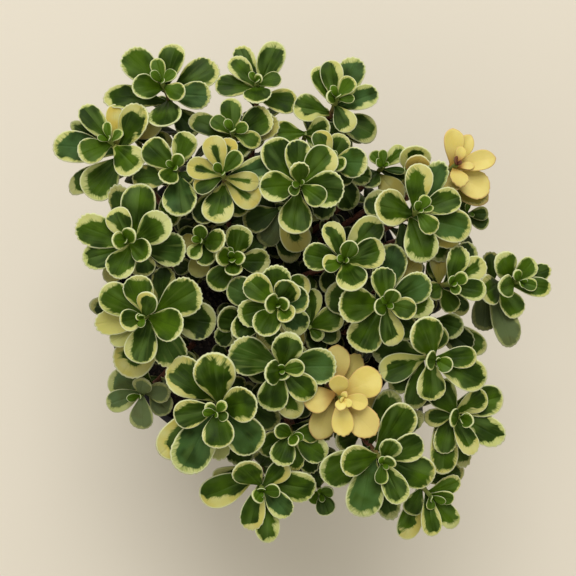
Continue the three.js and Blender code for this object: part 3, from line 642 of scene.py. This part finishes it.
def bladeShape(name):
    # One long and one wide: spokes run from the blade's heart to its outline, crossed by the rings.
    nearSteps, farSteps, point, above, below = bladeKinds[name]
    heart, broadest, ratio = leaves["heart"], leaves["broadest"], leaves["ratio"]
    outline = [(u, breadth(u) / 2) for u in [broadest * i / nearSteps for i in range(nearSteps)]]
    for i in range(farSteps + 1):
        swing = math.pi / 2 * i / farSteps
        reach = math.sin(swing) ** (2 / leaves["roundness"])
        outline.append((broadest + (1 - broadest) * reach, math.cos(swing) ** point / 2))
    steps = [math.hypot((b[0] - a[0]) * ratio, b[1] - a[1]) for a, b in zip(outline, outline[1:])]
    half = [(u, y, sum(steps[i:])) for i, (u, y) in enumerate(outline)]
    loop = half + [(u, -y, -d) for u, y, d in half[-2::-1]]
    edge = [Vector((u * ratio, y)) for u, y, _ in loop]
    places, marks, insets, rings = [], [], [], []
    for share, height, under in [(*ring, 0) for ring in above] + [(*ring, 1) for ring in below]:
        ring = loop if share else [(heart, 0, 0)]
        rings.append(range(len(places), len(places) + len(ring)))
        for u, y, d in ring:
            u, y = heart + share * (u - heart), share * y
            places.append((u, y, height))
            marks.append((d, share, 0))
            gap = edgeGap(Vector((u * ratio, y)), edge)
            insets.append((2 * gap / breadth(min(u, broadest)), under, 0))
    faces = [face for low, high in zip(rings, rings[1:]) for face in bridge(low, high, len(loop))]
    obj = meshObject(name + "Blade", [(u / mm, y / mm, 0.1 * h / mm) for u, y, h in places], faces)
    for label, values in (("blade", places), ("rim", marks), ("inset", insets)):
        addVectors(obj, label, values)
    return obj


def leafGrowthTree(values):
    # Puts a blade on every leaf point, then bends each copy to its own leaf's size and place.
    tree, add, given = newTree("leafGrowth", values)
    shape = add("GeometryNodeObjectInfo", None, given["Blade"])
    copies = add("GeometryNodeInstanceOnPoints", None, given["Geometry"],
                 {"Instance": shape.outputs["Geometry"]})
    real = add("GeometryNodeRealizeInstances", None, copies)
    read, part = {}, {}
    for name in ("blade", "rim", "foot", "along", "across", "up", "size", "bend"):
        read[name] = add("GeometryNodeInputNamedAttribute", vectors, name)
        part[name] = add("SeparateXYZ", None, read[name]).outputs
    length, width, toothDepth = part["size"]
    archShare, cupShare, curl = part["bend"]
    edgeWay, outShare = part["rim"][:2]

    # Round teeth along the far edge, as deep and as many as the leaf's size allows
    way = add("Math", "ABSOLUTE", edgeWay)
    teeth = ["MULTIPLY", way, ["DIVIDE", width, given["Tooth spacing"]]]    # counted from the tip
    wobble = add("TexNoise", fourWays, read["rim"], curl, {"Scale": 2.2, "Detail": 0.0})
    late = ["MULTIPLY_ADD", wobble, 3.0, ["MULTIPLY", teeth, math.pi]]
    fade = add("MapRange", eased, way, 0.62, 0.9, 1.0, 0.0)    # none near the foot
    tooth = ["SUBTRACT", ["ABSOLUTE", ["SINE", late]], 0.75]
    for factor in (fade, ["POWER", outShare, 5.0], toothDepth):
        tooth = ["MULTIPLY", tooth, factor]
    spread = add("Math", "MULTIPLY_ADD", ["DIVIDE", tooth, width], 2.0, 1.0)

    # Places in the leaf's own directions, in millimetres
    out = ["SUBTRACT", part["blade"][0], given["Heart"]]
    u = add("Math", "MULTIPLY_ADD", out, spread, given["Heart"])
    s = add("Math", "MULTIPLY", part["blade"][1], spread)
    x = add("Math", "MULTIPLY", u, length)
    y = add("Math", "MULTIPLY", s, width)

    # Its rise: an arch along it, a cup across it, a ripple at the rim, less the tip's droop
    arch = ["MULTIPLY", ["MULTIPLY", x, ["SUBTRACT", 1.0, u]], archShare]
    sides = ["POWER", ["MULTIPLY", ["ABSOLUTE", s], 2.0], 1.7]
    cup = ["MULTIPLY", ["MULTIPLY", sides, cupShare], width]
    far = ["MAXIMUM", ["SUBTRACT", u, 0.6], 0.0]
    droop = ["MULTIPLY", ["MULTIPLY", ["POWER", far, 2.0], curl], length]
    seat = add("VectorMath", "DIVIDE", add("CombineXYZ", None, x, y), given["Ripple size"])
    seat = add("VectorMath", "ADD", seat, read["foot"])
    wave = add("TexNoise", fourWays, seat, given["Seed"], {"Scale": 1.0, "Detail": 1.0})
    ripple = ["MULTIPLY", ["MULTIPLY", ["SUBTRACT", wave, 0.5], given["Ripple"]], ["POWER", outShare, 1.5]]
    lift = ["MULTIPLY", part["blade"][2], given["Thickness"]]
    for piece in (arch, cup, ripple):
        lift = ["ADD", lift, piece]
    lift = add("Math", "SUBTRACT", lift, droop)
    place = read["foot"]
    for direction, reach in (("along", x), ("across", y), ("up", lift)):
        step = add("VectorMath", "SCALE", read[direction], reach)
        place = add("VectorMath", "ADD", place, step)
    place = add("VectorMath", "SCALE", place, mm)
    whole = add("GeometryNodeSetPosition", None, real, {"Position": place})

    # What the finish reads: the place on the leaf in millimetres
    spot = add("CombineXYZ", None, x, y, lift)
    whole = add("GeometryNodeStoreNamedAttribute", vectors, whole, {"Name": "spot", "Value": spot})
    for name in ("foot", "along", "across", "up", "size", "bend"):
        whole = add("GeometryNodeRemoveAttribute", None, whole, {"Name": name})
    endTree(add, given, whole)
    return tree


def stemSweepTree(values):
    # Sweeps each stem's line, swollen at every old leaf ring and thinner towards the bud.
    tree, add, given = newTree("stemSweep", values)
    line = add("GeometryNodeMeshToCurve", None, given["Geometry"])
    line = add("GeometryNodeResampleCurve", {"mode": "LENGTH"}, line, {"Length": given["Step"]})
    way = add("GeometryNodeSplineParameter").outputs
    turns = ["DIVIDE", way["Length"], given["Ring spacing"]]
    ring = ["POWER", ["MAXIMUM", ["COSINE", ["MULTIPLY", turns, 2 * math.pi]], 0.0], 6.0]
    taper = add("MapRange", None, way["Factor"], 0.0, 1.0, 1.08, 0.72)
    girth = ["MULTIPLY_ADD", taper, given["Radius"], ["MULTIPLY", ring, given["Ring height"]]]
    kept = add("GeometryNodeStoreNamedAttribute", {"data_type": "FLOAT"}, line,
               {"Name": "way", "Value": way["Factor"]})
    section = add("GeometryNodeCurvePrimitiveCircle", None, given["Sides"], {"Radius": 1.0})
    skin = add("GeometryNodeCurveToMesh", None, kept, section, girth, True)
    endTree(add, given, add("GeometryNodeSetShadeSmooth", None, skin))
    return tree


def chipScatterTree(values):
    # Scatters chips over the upper side of the mix, each turned, sized and toned by chance.
    tree, add, given = newTree("chipScatter", values)
    upward = add("SeparateXYZ", None, add("GeometryNodeInputNormal")).outputs["Z"]
    spots = add("GeometryNodeDistributePointsOnFaces", {"distribute_method": "POISSON"},
                given["Geometry"], ["GREATER_THAN", upward, 0.5], given["Spacing"],
                {"Density Max": 1e6, "Density Factor": given["Share"], "Seed": given["Seed"]})
    chance = {"Seed": given["Seed"]}
    turn = add("FunctionNodeRandomValue", vectors, None, (6.3, 6.3, 6.3), chance)
    size = add("FunctionNodeRandomValue", vectors, (0.5, 0.4, 0.3), (1.5, 1.1, 0.8), chance)
    size = add("VectorMath", "SCALE", size, given["Size"])
    shape = add("GeometryNodeObjectInfo", None, given["Chip"])
    chips = add("GeometryNodeInstanceOnPoints", None, spots,
                {"Instance": shape.outputs["Geometry"], "Rotation": turn, "Scale": size})
    tone = add("FunctionNodeRandomValue", {"data_type": "FLOAT"}, chance)
    toned = add("GeometryNodeStoreNamedAttribute", {"data_type": "FLOAT", "domain": "INSTANCE"}, chips,
                {"Name": "tone", "Value": tone})
    endTree(add, given, toned)
    return tree


def newMaterial(name, finish):
    # A material, what adds its nodes, and the colours of its finish.
    material = bpy.data.materials.new(name)
    material.use_nodes = True
    material.node_tree.nodes.clear()
    paint = {label: linearColour(value) for label, value in finish.items() if isinstance(value, str)}
    return material, partial(addNode, material.node_tree), paint


def endMaterial(add, values, height=None, depth=1.0, strength=0.6):
    # The shader, over a relief of the given depth in millimetres.
    if height:
        bump = add("Bump", None, {"Height": height, "Distance": depth * mm, "Strength": strength})
        values["Normal"] = bump
    add("OutputMaterial", None, add("BsdfPrincipled", None, values))


def layer(add, colour, *layers):
    # Lays colours over the first one, each by its own share.
    for share, over in layers:
        colour = add("Mix", {"data_type": "RGBA"}, share, colour, over)
    return colour


greenFinish = {
    "dark": "#213600", "light": "#456106", "young": "#587a10", "cream": "#b8c074", "gold": "#cfba58",
    "fresh": "#b2c456", "foot": "#989e4a", "cloud": "#d0d292", "sheenStreak": "#64803a", "edge": "#dfe2b2",
    "between": "#7b8c44", "paintedSheen": "#45673c", "flush": "#c98a5a", "deep": "#5c1c28", "back": "#8e9c58",
    "dull": "#777a4e", "veinWidth": 1.9, "veinLength": 14, "veinSlant": -1.2, "patchSize": 7,
    "ragged": 1.0, "groove": -0.2, "roughness": 0.5,
}
goldFinish = dict(
    greenFinish, dark="#a59a38", light="#c4b24c", young="#e4d264", cream="#e2d284", gold="#e2ce70",
    fresh="#ecdf78", foot="#c29040", cloud="#f0e290", flush="#b87a4a", edge="#e0bd78", groove=-0.04)


def leafMaterial(name, finish):
    # A fleshy leaf, grown: a waxy skin over green tissue, with a cream margin where the tissue holds
    # no green. The border between them is ragged along the veins, and the very edge is a fine pale line,
    # partly the rim's own pale tissue and partly a painted highlight where the rounded rim catches light.
    material, add, paint = newMaterial(name, finish)
    read, part = {}, {}
    for label in ("coat", "tone", "lot", "spot", "inset", "blade"):
        read[label] = add("Attribute", {"attribute_name": label}).outputs["Vector"]
        part[label] = add("SeparateXYZ", None, read[label]).outputs
    margin, lopsided, golden = part["coat"]
    shaded, young, paintedSheen = part["tone"]
    seed, veined, flush = part["lot"]
    x, y = part["spot"][:2]
    inset, under = part["inset"][:2]
    u, s = part["blade"][:2]

    # Veins run outwards and forwards from the middle of the leaf
    away = add("Math", "ABSOLUTE", y)
    across = ["DIVIDE", ["MULTIPLY_ADD", away, finish["veinSlant"], x], finish["veinWidth"]]
    down = ["DIVIDE", ["ADD", x, away], finish["veinLength"]]
    half = add("Math", "MULTIPLY_ADD", ["SIGN", y], 3.0, ["MULTIPLY", seed, 57.0])    # no two alike
    vein = add("CombineXYZ", None, across, down, half)
    flame = add("TexNoise", None, vein, {"Scale": 1.0, "Detail": 2.0, "Roughness": 0.55})
    stripe = add("TexNoise", None, vein, {"Scale": 2.6, "Detail": 1.0})
    patch = add("TexNoise", fourWays, read["spot"], ["MULTIPLY", seed, 91.0],
                {"Scale": 1 / finish["patchSize"], "Detail": 1.5})

    # Where the green begins, as a share of the way in from the edge
    lean = ["MULTIPLY", ["MULTIPLY", s, lopsided], 1.9]
    play = add("Math", "MINIMUM", margin, ["MAXIMUM", ["SUBTRACT", 0.7, margin], 0.05])
    swell = add("MapRange", None, patch, 0.36, 0.64, -0.85, 1.15)
    border = ["MULTIPLY_ADD", play, swell, ["ADD", margin, lean]]
    reach = ["MULTIPLY_ADD", play, finish["ragged"], 0.1]
    border = ["MULTIPLY_ADD", ["SUBTRACT", flame, 0.5], reach, border]
    border = ["MULTIPLY_ADD", ["SUBTRACT", u, 0.6], 0.12, border]
    depth = add("Math", "SUBTRACT", inset, border)
    green = add("MapRange", eased, depth, -0.03, 0.06)
    halfTone = ["MULTIPLY_ADD", ["SUBTRACT", stripe, 0.45], 0.55, depth]
    pale = add("MapRange", eased, halfTone, -0.12, 0.06, 0.0, 0.8)

    # The cream: golden by its coat, fresher on young leaves, clouded, darker towards the foot, partly its
    # own colour and partly painted shade
    cream = layer(
        add, paint["cream"], (golden, paint["gold"]), (["MULTIPLY", young, 1.3], paint["fresh"]),
        (add("MapRange", None, patch, 0.45, 0.65, 0.0, 0.55), paint["cloud"]),
        (add("MapRange", eased, u, 0.05, 0.6, 0.75, 0.0), paint["foot"]))

    # The green: its own depth on every leaf, ribs and painted sheen streaks that fan out from the foot, a
    # painted bluish sheen
    own = ["MULTIPLY_ADD", ["SUBTRACT", seed, 0.5], 0.22, patch]
    fan = ["MULTIPLY", ["DIVIDE", y, ["ADD", x, 3.0]], 4.5]
    fanned = add("CombineXYZ", None, fan, ["DIVIDE", x, finish["veinLength"]], half)
    sheenStreak = add("TexNoise", None, fanned, {"Scale": 1.0, "Detail": 1.0})
    ribs = add("VectorMath", "MULTIPLY", fanned, (3.2, 1.0, 1.0))
    ribs = add("MapRange", eased, add("TexNoise", None, ribs, {"Scale": 1.0, "Detail": 1.0}), 0.52, 0.7)
    # Painted sheen: bluish-green patches laid on as colour where the waxy skin would reflect the sky
    sheenPatches = add("MapRange", eased, patch, 0.35, 0.6, 0.1, 0.8)
    flesh = layer(
        add, paint["dark"], (add("MapRange", None, own, 0.34, 0.68), paint["light"]),
        (["MULTIPLY", ribs, ["MULTIPLY_ADD", veined, 0.32, 0.07]], paint["between"]),
        (add("MapRange", eased, sheenStreak, 0.46, 0.78, 0.0, 0.45), paint["sheenStreak"]),
        (young, paint["young"]), (["MULTIPLY", paintedSheen, sheenPatches], paint["paintedSheen"]))

    # The whole: cream, the half tone at its border, the green, the pale edge, flush, age, the back
    warm = add("MapRange", eased, u, 0.1, 0.7, 1.0, 0.15)
    colour = layer(
        add, cream, (pale, paint["between"]), (green, flesh),
        # The pale edge: the rim's own pale tissue with a painted highlight on the rounded rim
        (add("MapRange", eased, inset, 0.03, 0.1, 0.9, 0.0), paint["edge"]),
        (["MULTIPLY", warm, flush], paint["flush"]),
        (add("MapRange", None, flush, 1.0, 2.0, 0.0, 0.9), paint["deep"]),
        # Past 1 the painted sheen value also greys the leaf towards the dull colour
        (add("MapRange", None, paintedSheen, 1.0, 2.0, 0.0, 0.75), paint["dull"]),
        (["MULTIPLY", under, 0.6], paint["back"]))
    dim = add("MapRange", None, shaded, 0.0, 1.0, 1.0, 0.25)

    # Relief: a groove along the middle, low veins and a fine grain of the skin
    groove = add("MapRange", eased, away, 0.0, 0.7, finish["groove"], 0.0)
    grain = add("TexNoise", None, read["spot"], {"Scale": 2.4, "Detail": 2.0})    # about 0.4 mm
    relief = ["MULTIPLY_ADD", grain, 0.05, ["MULTIPLY_ADD", stripe, 0.07, groove]]
    rough = finish["roughness"]
    endMaterial(add, {
        "Base Color": add("VectorMath", "SCALE", colour, dim),
        "Roughness": add("MapRange", None, grain, 0.3, 0.7, rough - 0.05, rough + 0.08),
        "IOR": 1.45, "Specular IOR Level": 0.13, "Subsurface Weight": 0.1,
        "Subsurface Radius": (0.7, 1.0, 0.25), "Subsurface Scale": 1.2 * mm}, relief, 1.0, 0.7)
    return material


stemFinish = {"low": "#6b4030", "high": "#7d4a36", "tip": "#7c8a3c", "scar": "#3b241b", "grain": 1.1}


def stemMaterial():
    # A fleshy stem that is turning woody: matt red-brown bark below, green near the bud, dark leaf scars.
    material, add, paint = newMaterial("stonecropStemBark", stemFinish)
    place = add("TexCoord").outputs["Object"]
    way = add("Attribute", {"attribute_name": "way"}).outputs["Fac"]
    grain = add("TexNoise", None, place, {"Scale": 1 / (stemFinish["grain"] * mm), "Detail": 3.0})
    bark = layer(
        add, paint["low"], (way, paint["high"]),
        (add("MapRange", None, grain, 0.5, 0.7, 0.0, 0.7), paint["scar"]),
        (add("MapRange", eased, way, 0.82, 1.0), paint["tip"]))
    endMaterial(add, {"Base Color": bark, "Roughness": 0.6}, grain, 0.25)
    return material


mixFinish = {"peat": "#140f0e", "crumb": "#261b16", "crumbSize": 1.6, "bark": "#38291f", "pale": "#6b5f52"}


def peatMaterial():
    # Damp peat, crumbled: dark, quite rough, with crumbs a little over a millimetre wide.
    material, add, paint = newMaterial("dampPeatMix", mixFinish)
    place = add("TexCoord").outputs["Object"]
    crumbs = add("TexVoronoi", None, place, {"Scale": 1 / (mixFinish["crumbSize"] * mm)})
    spread = add("TexNoise", None, place, {"Scale": 90.0, "Detail": 4.0})    # patches of 11 mm
    colour = layer(add, paint["peat"], (add("MapRange", None, spread, 0.35, 0.7), paint["crumb"]))
    endMaterial(add, {"Base Color": colour, "Roughness": 0.95}, crumbs, 0.6, 0.9)
    return material


def chipMaterial():
    # Bark and fibre chips, shredded: each its own brown, with a few bleached ones.
    material, add, paint = newMaterial("shreddedBarkChips", mixFinish)
    place = add("TexCoord").outputs["Object"]
    tone = add("Attribute", {"attribute_name": "tone"}).outputs["Fac"]
    rare = add("MapRange", None, tone, 0.94, 0.97, 0.0, 0.8)
    colour = layer(add, paint["peat"], (tone, paint["bark"]), (rare, paint["pale"]))
    grain = add("TexNoise", None, place, {"Scale": 1 / (0.5 * mm), "Detail": 2.0})
    endMaterial(add, {"Base Color": colour, "Roughness": 0.9}, grain, 0.2, 0.7)
    return material


potFinish = {"colour": "#17131a", "worn": "#28232a", "grain": 0.7, "roughness": 0.42}


def potMaterial():
    # Polypropylene, injection moulded: nearly black with a purple tinge, a satin skin with a fine
    # grain, and paler scuffs.
    material, add, paint = newMaterial("mouldedBlackPolypropylene", potFinish)
    place = add("TexCoord").outputs["Object"]
    grain = add("TexNoise", None, place, {"Scale": 1 / (potFinish["grain"] * mm)})
    # Scuffs about 17 mm across
    scuffs = add("TexNoise", None, place, {"Scale": 60.0, "Detail": 6.0, "Roughness": 0.7})
    colour = layer(add, paint["colour"], (add("MapRange", None, scuffs, 0.52, 0.72), paint["worn"]))
    rough = potFinish["roughness"]
    gloss = add("MapRange", None, scuffs, 0.3, 0.7, rough - 0.06, rough + 0.14)
    endMaterial(add, {"Base Color": colour, "Roughness": gloss, "IOR": 1.49, "Specular IOR Level": 0.35},
                grain, 0.06)
    return material


pot = {
    "height": 100, "rimRadius": 65, "underRimRadius": 61.5, "baseRadius": 46, "rimDepth": 11,
    "wall": 1.6, "floor": 2, "edgeRound": 0.8, "baseEdge": 1.5, "sides": 144,
    "holes": 6, "holeRadius": 4.5, "holeCircle": 33,
}


def roundCorner(x, z, start, radius):
    # A quarter turn of the profile, from a starting angle on.
    return [(x + radius * math.cos(math.radians(start + 22.5 * i)),
             z + radius * math.sin(math.radians(start + 22.5 * i))) for i in range(5)]


def buildPot():
    top, floor, shelf = pot["height"], pot["floor"], pot["height"] - pot["rimDepth"]
    outer, under, wall, r = pot["rimRadius"], pot["underRimRadius"], pot["wall"], pot["edgeRound"]
    foot, base, inner = pot["baseRadius"], pot["baseEdge"], outer - wall - r
    profile = [(0, 0), (foot * 0.55, 0)] + roundCorner(foot - base, base, -90, base)
    profile += [(under - 0.35 * r, shelf - 0.7), (under, shelf)]    # the side, up to under the rim
    profile += roundCorner(outer - r, shelf + 0.6 + r, -90, r) + roundCorner(outer - r, top - r, 0, r)
    profile += roundCorner(inner, top - r, 90, r)    # over the rim and down its inside
    profile += [(inner - r - 0.2, shelf + 1.5), (under - wall, shelf)]
    profile += [(foot - wall, floor + 1), (foot - wall - 1, floor), (0, floor)]
    vessel = meshObject("plastic_pot", *lathe(profile, pot["sides"]))
    cutters = []
    for turn in range(pot["holes"]):
        angle = 2 * math.pi * turn / pot["holes"]
        place = Vector((pot["holeCircle"] * math.cos(angle), pot["holeCircle"] * math.sin(angle), 0)) * mm
        cutters.append(solidObject(
            "drainHole", bmesh.ops.create_cone, cap_ends=True, segments=28, radius1=pot["holeRadius"] * mm,
            radius2=pot["holeRadius"] * mm, depth=3 * floor * mm, matrix=Matrix.Translation(place)))
        cut = vessel.modifiers.new("drain", "BOOLEAN")
        cut.operation, cut.object, cut.solver = "DIFFERENCE", cutters[-1], "EXACT"
    mesh = plainMesh(vessel, "plastic_pot")
    vessel.modifiers.clear()
    vessel.data = mesh
    for cutter in cutters:
        bpy.data.objects.remove(cutter)
    mesh.set_sharp_from_angle(angle=math.radians(40))
    mesh.materials.clear()
    mesh.materials.append(potMaterial())
    finishPiece(vessel, "pot")
    print("pot: moulded with", pot["holes"], "drain holes")


soil = {
    "top": 89, "mound": 4, "gap": 0.6, "overFloor": 0.3, "sides": 72, "rings": 22, "lumps": 1.1,
    "lumpSize": 7, "calmEdge": 6, "chipSpacing": 2.1, "chipSize": 1.4, "chipShare": 1.0, "seed": 7,
}


def buildSoil():
    floor, edge = pot["floor"] + soil["overFloor"], soilEdge(soil["top"])
    profile = [(0, floor), (soilEdge(floor) * 0.98, floor), (soilEdge(floor), floor + 1)]
    for radius in [edge * (1 - i / soil["rings"]) for i in range(soil["rings"] + 1)]:
        profile.append((radius, soilAt(radius)))
    places, faces = lathe(profile, soil["sides"])
    places = [Vector(place) for place in places]
    for place in places:
        if place.z > soil["top"]:
            calm = min(1, (edge - math.hypot(place.x, place.y)) / soil["calmEdge"])
            fine = noise.noise(place / (0.35 * soil["lumpSize"]))
            rise = noise.noise(place / soil["lumpSize"]) + 0.5 * fine
            place.z += soil["lumps"] * rise * calm
    bed = meshObject("potting_mix", places, faces)
    bed.data.materials.append(peatMaterial())
    chip = solidObject("chip", bmesh.ops.create_icosphere, subdivisions=1, radius=mm)
    values = {"Chip": chip, "Spacing": soil["chipSpacing"] * mm, "Size": soil["chipSize"],
              "Share": soil["chipShare"], "Seed": soil["seed"], "Material": chipMaterial()}
    chips = grow(placeObject("mixTop", bed.data.copy()), chipScatterTree(values), values, "bark_chips")
    bpy.data.objects.remove(chip)
    for piece in (bed, chips):
        finishPiece(piece, "soil")
    print("mix:", len(chips.data.polygons), "faces of chips")


# How far one leaf strays from the next: shares of the usual, and shifts for the curl, the side that
# the margin leans to and its gold
stray = {"teeth": (0.2, 0.6, 1, 1.7), "arch": (0.5, 1.4), "cup": (0.4, 1.7), "curl": (-0.25, 0.8),
         "margin": (0.75, 1.3), "side": (-0.06, 0.06), "gold": (-0.3, 0.25), "shade": (0.8, 1.2)}
youth = {"most": 0.75, "ranks": 4, "width": 9}


def leafPoints(stem, chosen, draw):
    # A point at the foot of each leaf, with all that the growth tree and the finish read from it.
    points = meshObject(stem["name"] + "_points", [leaf["foot"] for leaf in chosen])
    rows = {}
    for leaf in chosen:
        margin, lopsided, golden, shaded, paintedSheen, veined = coats[leaf["coat"]]
        tooth = leaves["leastTooth"]
        if leaf["width"] >= leaves["toothedFrom"]:
            tooth = leaves["toothDepth"] * draw.choice(stray["teeth"])
            tooth = tooth * leaf["width"] / leaves["toothedWidth"]
        arch = leaves["arch"] * draw.uniform(*stray["arch"])
        cup = leaves["cup"] * draw.uniform(*stray["cup"])
        curl = draw.uniform(*stray["curl"])
        if margin < 0.5:
            margin *= draw.uniform(*stray["margin"])
        lopsided += draw.uniform(*stray["side"])
        golden = min(1, max(0, golden + draw.uniform(*stray["gold"])))
        shaded = min(1, shaded * draw.uniform(*stray["shade"]) + leaf["shade"])
        fresh = youth["most"] * max(0, 1 - leaf["rank"] / youth["ranks"])
        fresh = fresh * max(0, 1 - leaf["width"] / youth["width"])
        flush = flushes.get(leaf["coat"], flushes.get(stem["name"], 0))
        row = {label: leaf[label] for label in ("foot", "along", "across", "up")}
        row.update(size=(leaf["length"], leaf["width"], tooth), bend=(arch, cup, curl),
                   coat=(margin, lopsided, golden), tone=(shaded, fresh, paintedSheen),
                   lot=(draw.random(), veined, flush))
        for label, value in row.items():
            rows.setdefault(label, []).append(tuple(value))
    for label, values in rows.items():
        addVectors(points, label, values)
    return points


def buildShoots():
    laid = layStems()
    room = openLeaves(laid)
    openLowLeaves(laid, room)
    shadeBelow(laid)
    openBuds(laid)
    print("shoots:", len(laid), "stems,", sum(len(stem["leaves"]) for stem in laid), "leaves")
    shapes = {name: bladeShape(name) for name in bladeKinds}
    skins = {False: leafMaterial("variegatedGreenLeaf", greenFinish),
             True: leafMaterial("goldenLeaf", goldFinish)}
    leafValues = {
        "Blade": shapes["upper"], "Thickness": leaves["thickness"], "Ripple": leaves["ripple"],
        "Ripple size": leaves["rippleSize"], "Tooth spacing": leaves["toothSpacing"] / leaves["ratio"],
        "Heart": leaves["heart"], "Seed": float(leaves["seed"]), "Material": skins[False]}
    stemValues = {
        "Radius": stems["radius"] * mm, "Step": stems["step"] * mm, "Sides": stems["sides"],
        "Ring spacing": stems["ringSpacing"] * mm, "Ring height": stems["ringHeight"] * mm,
        "Material": stemMaterial()}
    growth, sweep = leafGrowthTree(leafValues), stemSweepTree(stemValues)
    draw = random.Random(leaves["seed"] + 1)
    total = 0
    for stem in laid:
        name = stem["name"]
        golden = name.startswith("yellow")
        grown = []
        for low, shape in ((False, "pointed" if golden else "upper"), (True, "lower")):
            chosen = [leaf for leaf in stem["leaves"] if leaf["low"] == low]
            if chosen:
                leafValues.update(Blade=shapes[shape], Material=skins[golden])
                points = leafPoints(stem, chosen, draw)
                grown.append(grow(points, growth, leafValues, name + "_leaves" + "_low" * low))
        if len(grown) > 1:
            with bpy.context.temp_override(active_object=grown[0], selected_editable_objects=grown):
                bpy.ops.object.join()
        foliage = grown[0]
        foliage.data.shade_smooth()
        finishPiece(foliage, name)
        steps = [(i, i + 1) for i in range(len(stem["line"]) - 1)]
        line = meshObject(name + "_line", stem["line"], edges=steps)
        finishPiece(grow(line, sweep, stemValues, name + "_stem"), name)
        total += sum(len(face.vertices) - 2 for face in foliage.data.polygons)
    for shape in shapes.values():
        bpy.data.objects.remove(shape)
    print("leaves:", total, "triangles")


studio = {"floor": "#e9e0cf", "floorSize": 6, "sky": "#f6f2e6", "skyStrength": 0.5, "aim": (0, 0, 0.1),
          "keyPower": 74, "keySize": 2.2, "keyFrom": (0.05, 2.1, 2.6),
          "fillPower": 3, "fillSize": 1.6, "fillFrom": (-0.9, -0.5, 1.2)}


def buildStudio():
    scene = bpy.context.scene
    bpy.ops.mesh.primitive_plane_add(size=studio["floorSize"])
    floor = bpy.context.object
    floor.name = "studioFloor"
    material, add, paint = newMaterial("paleFloor", studio)
    endMaterial(add, {"Base Color": paint["floor"], "Roughness": 0.6})
    floor.data.materials.append(material)
    world = bpy.data.worlds.new("softSky")
    world.use_nodes = True
    sky = world.node_tree.nodes["Background"]
    sky.inputs["Color"].default_value = paint["sky"]
    sky.inputs["Strength"].default_value = studio["skyStrength"]
    scene.world = world
    for label in ("key", "fill"):
        lamp = bpy.data.lights.new(label + "Light", "AREA")
        lamp.energy, lamp.size = studio[label + "Power"], studio[label + "Size"]
        holder = placeObject(label + "Light", lamp)
        holder.location = studio[label + "From"]
        towards = Vector(studio["aim"]) - holder.location
        holder.rotation_euler = towards.to_track_quat("-Z", "Y").to_euler()
    camera = bpy.data.cameras.new("overhead")
    camera.lens, camera.sensor_width = view["lens"], view["sensor"]
    camera.clip_start, camera.clip_end = 0.01, 20
    scene.camera = placeObject("overhead", camera)
    scene.camera.location = Vector(view["eye"]) * mm
    scene.view_settings.view_transform = "Standard"
    print("studio: floor, sky, two lights and the camera")


buildPot()
buildSoil()
buildShoots()
buildStudio()
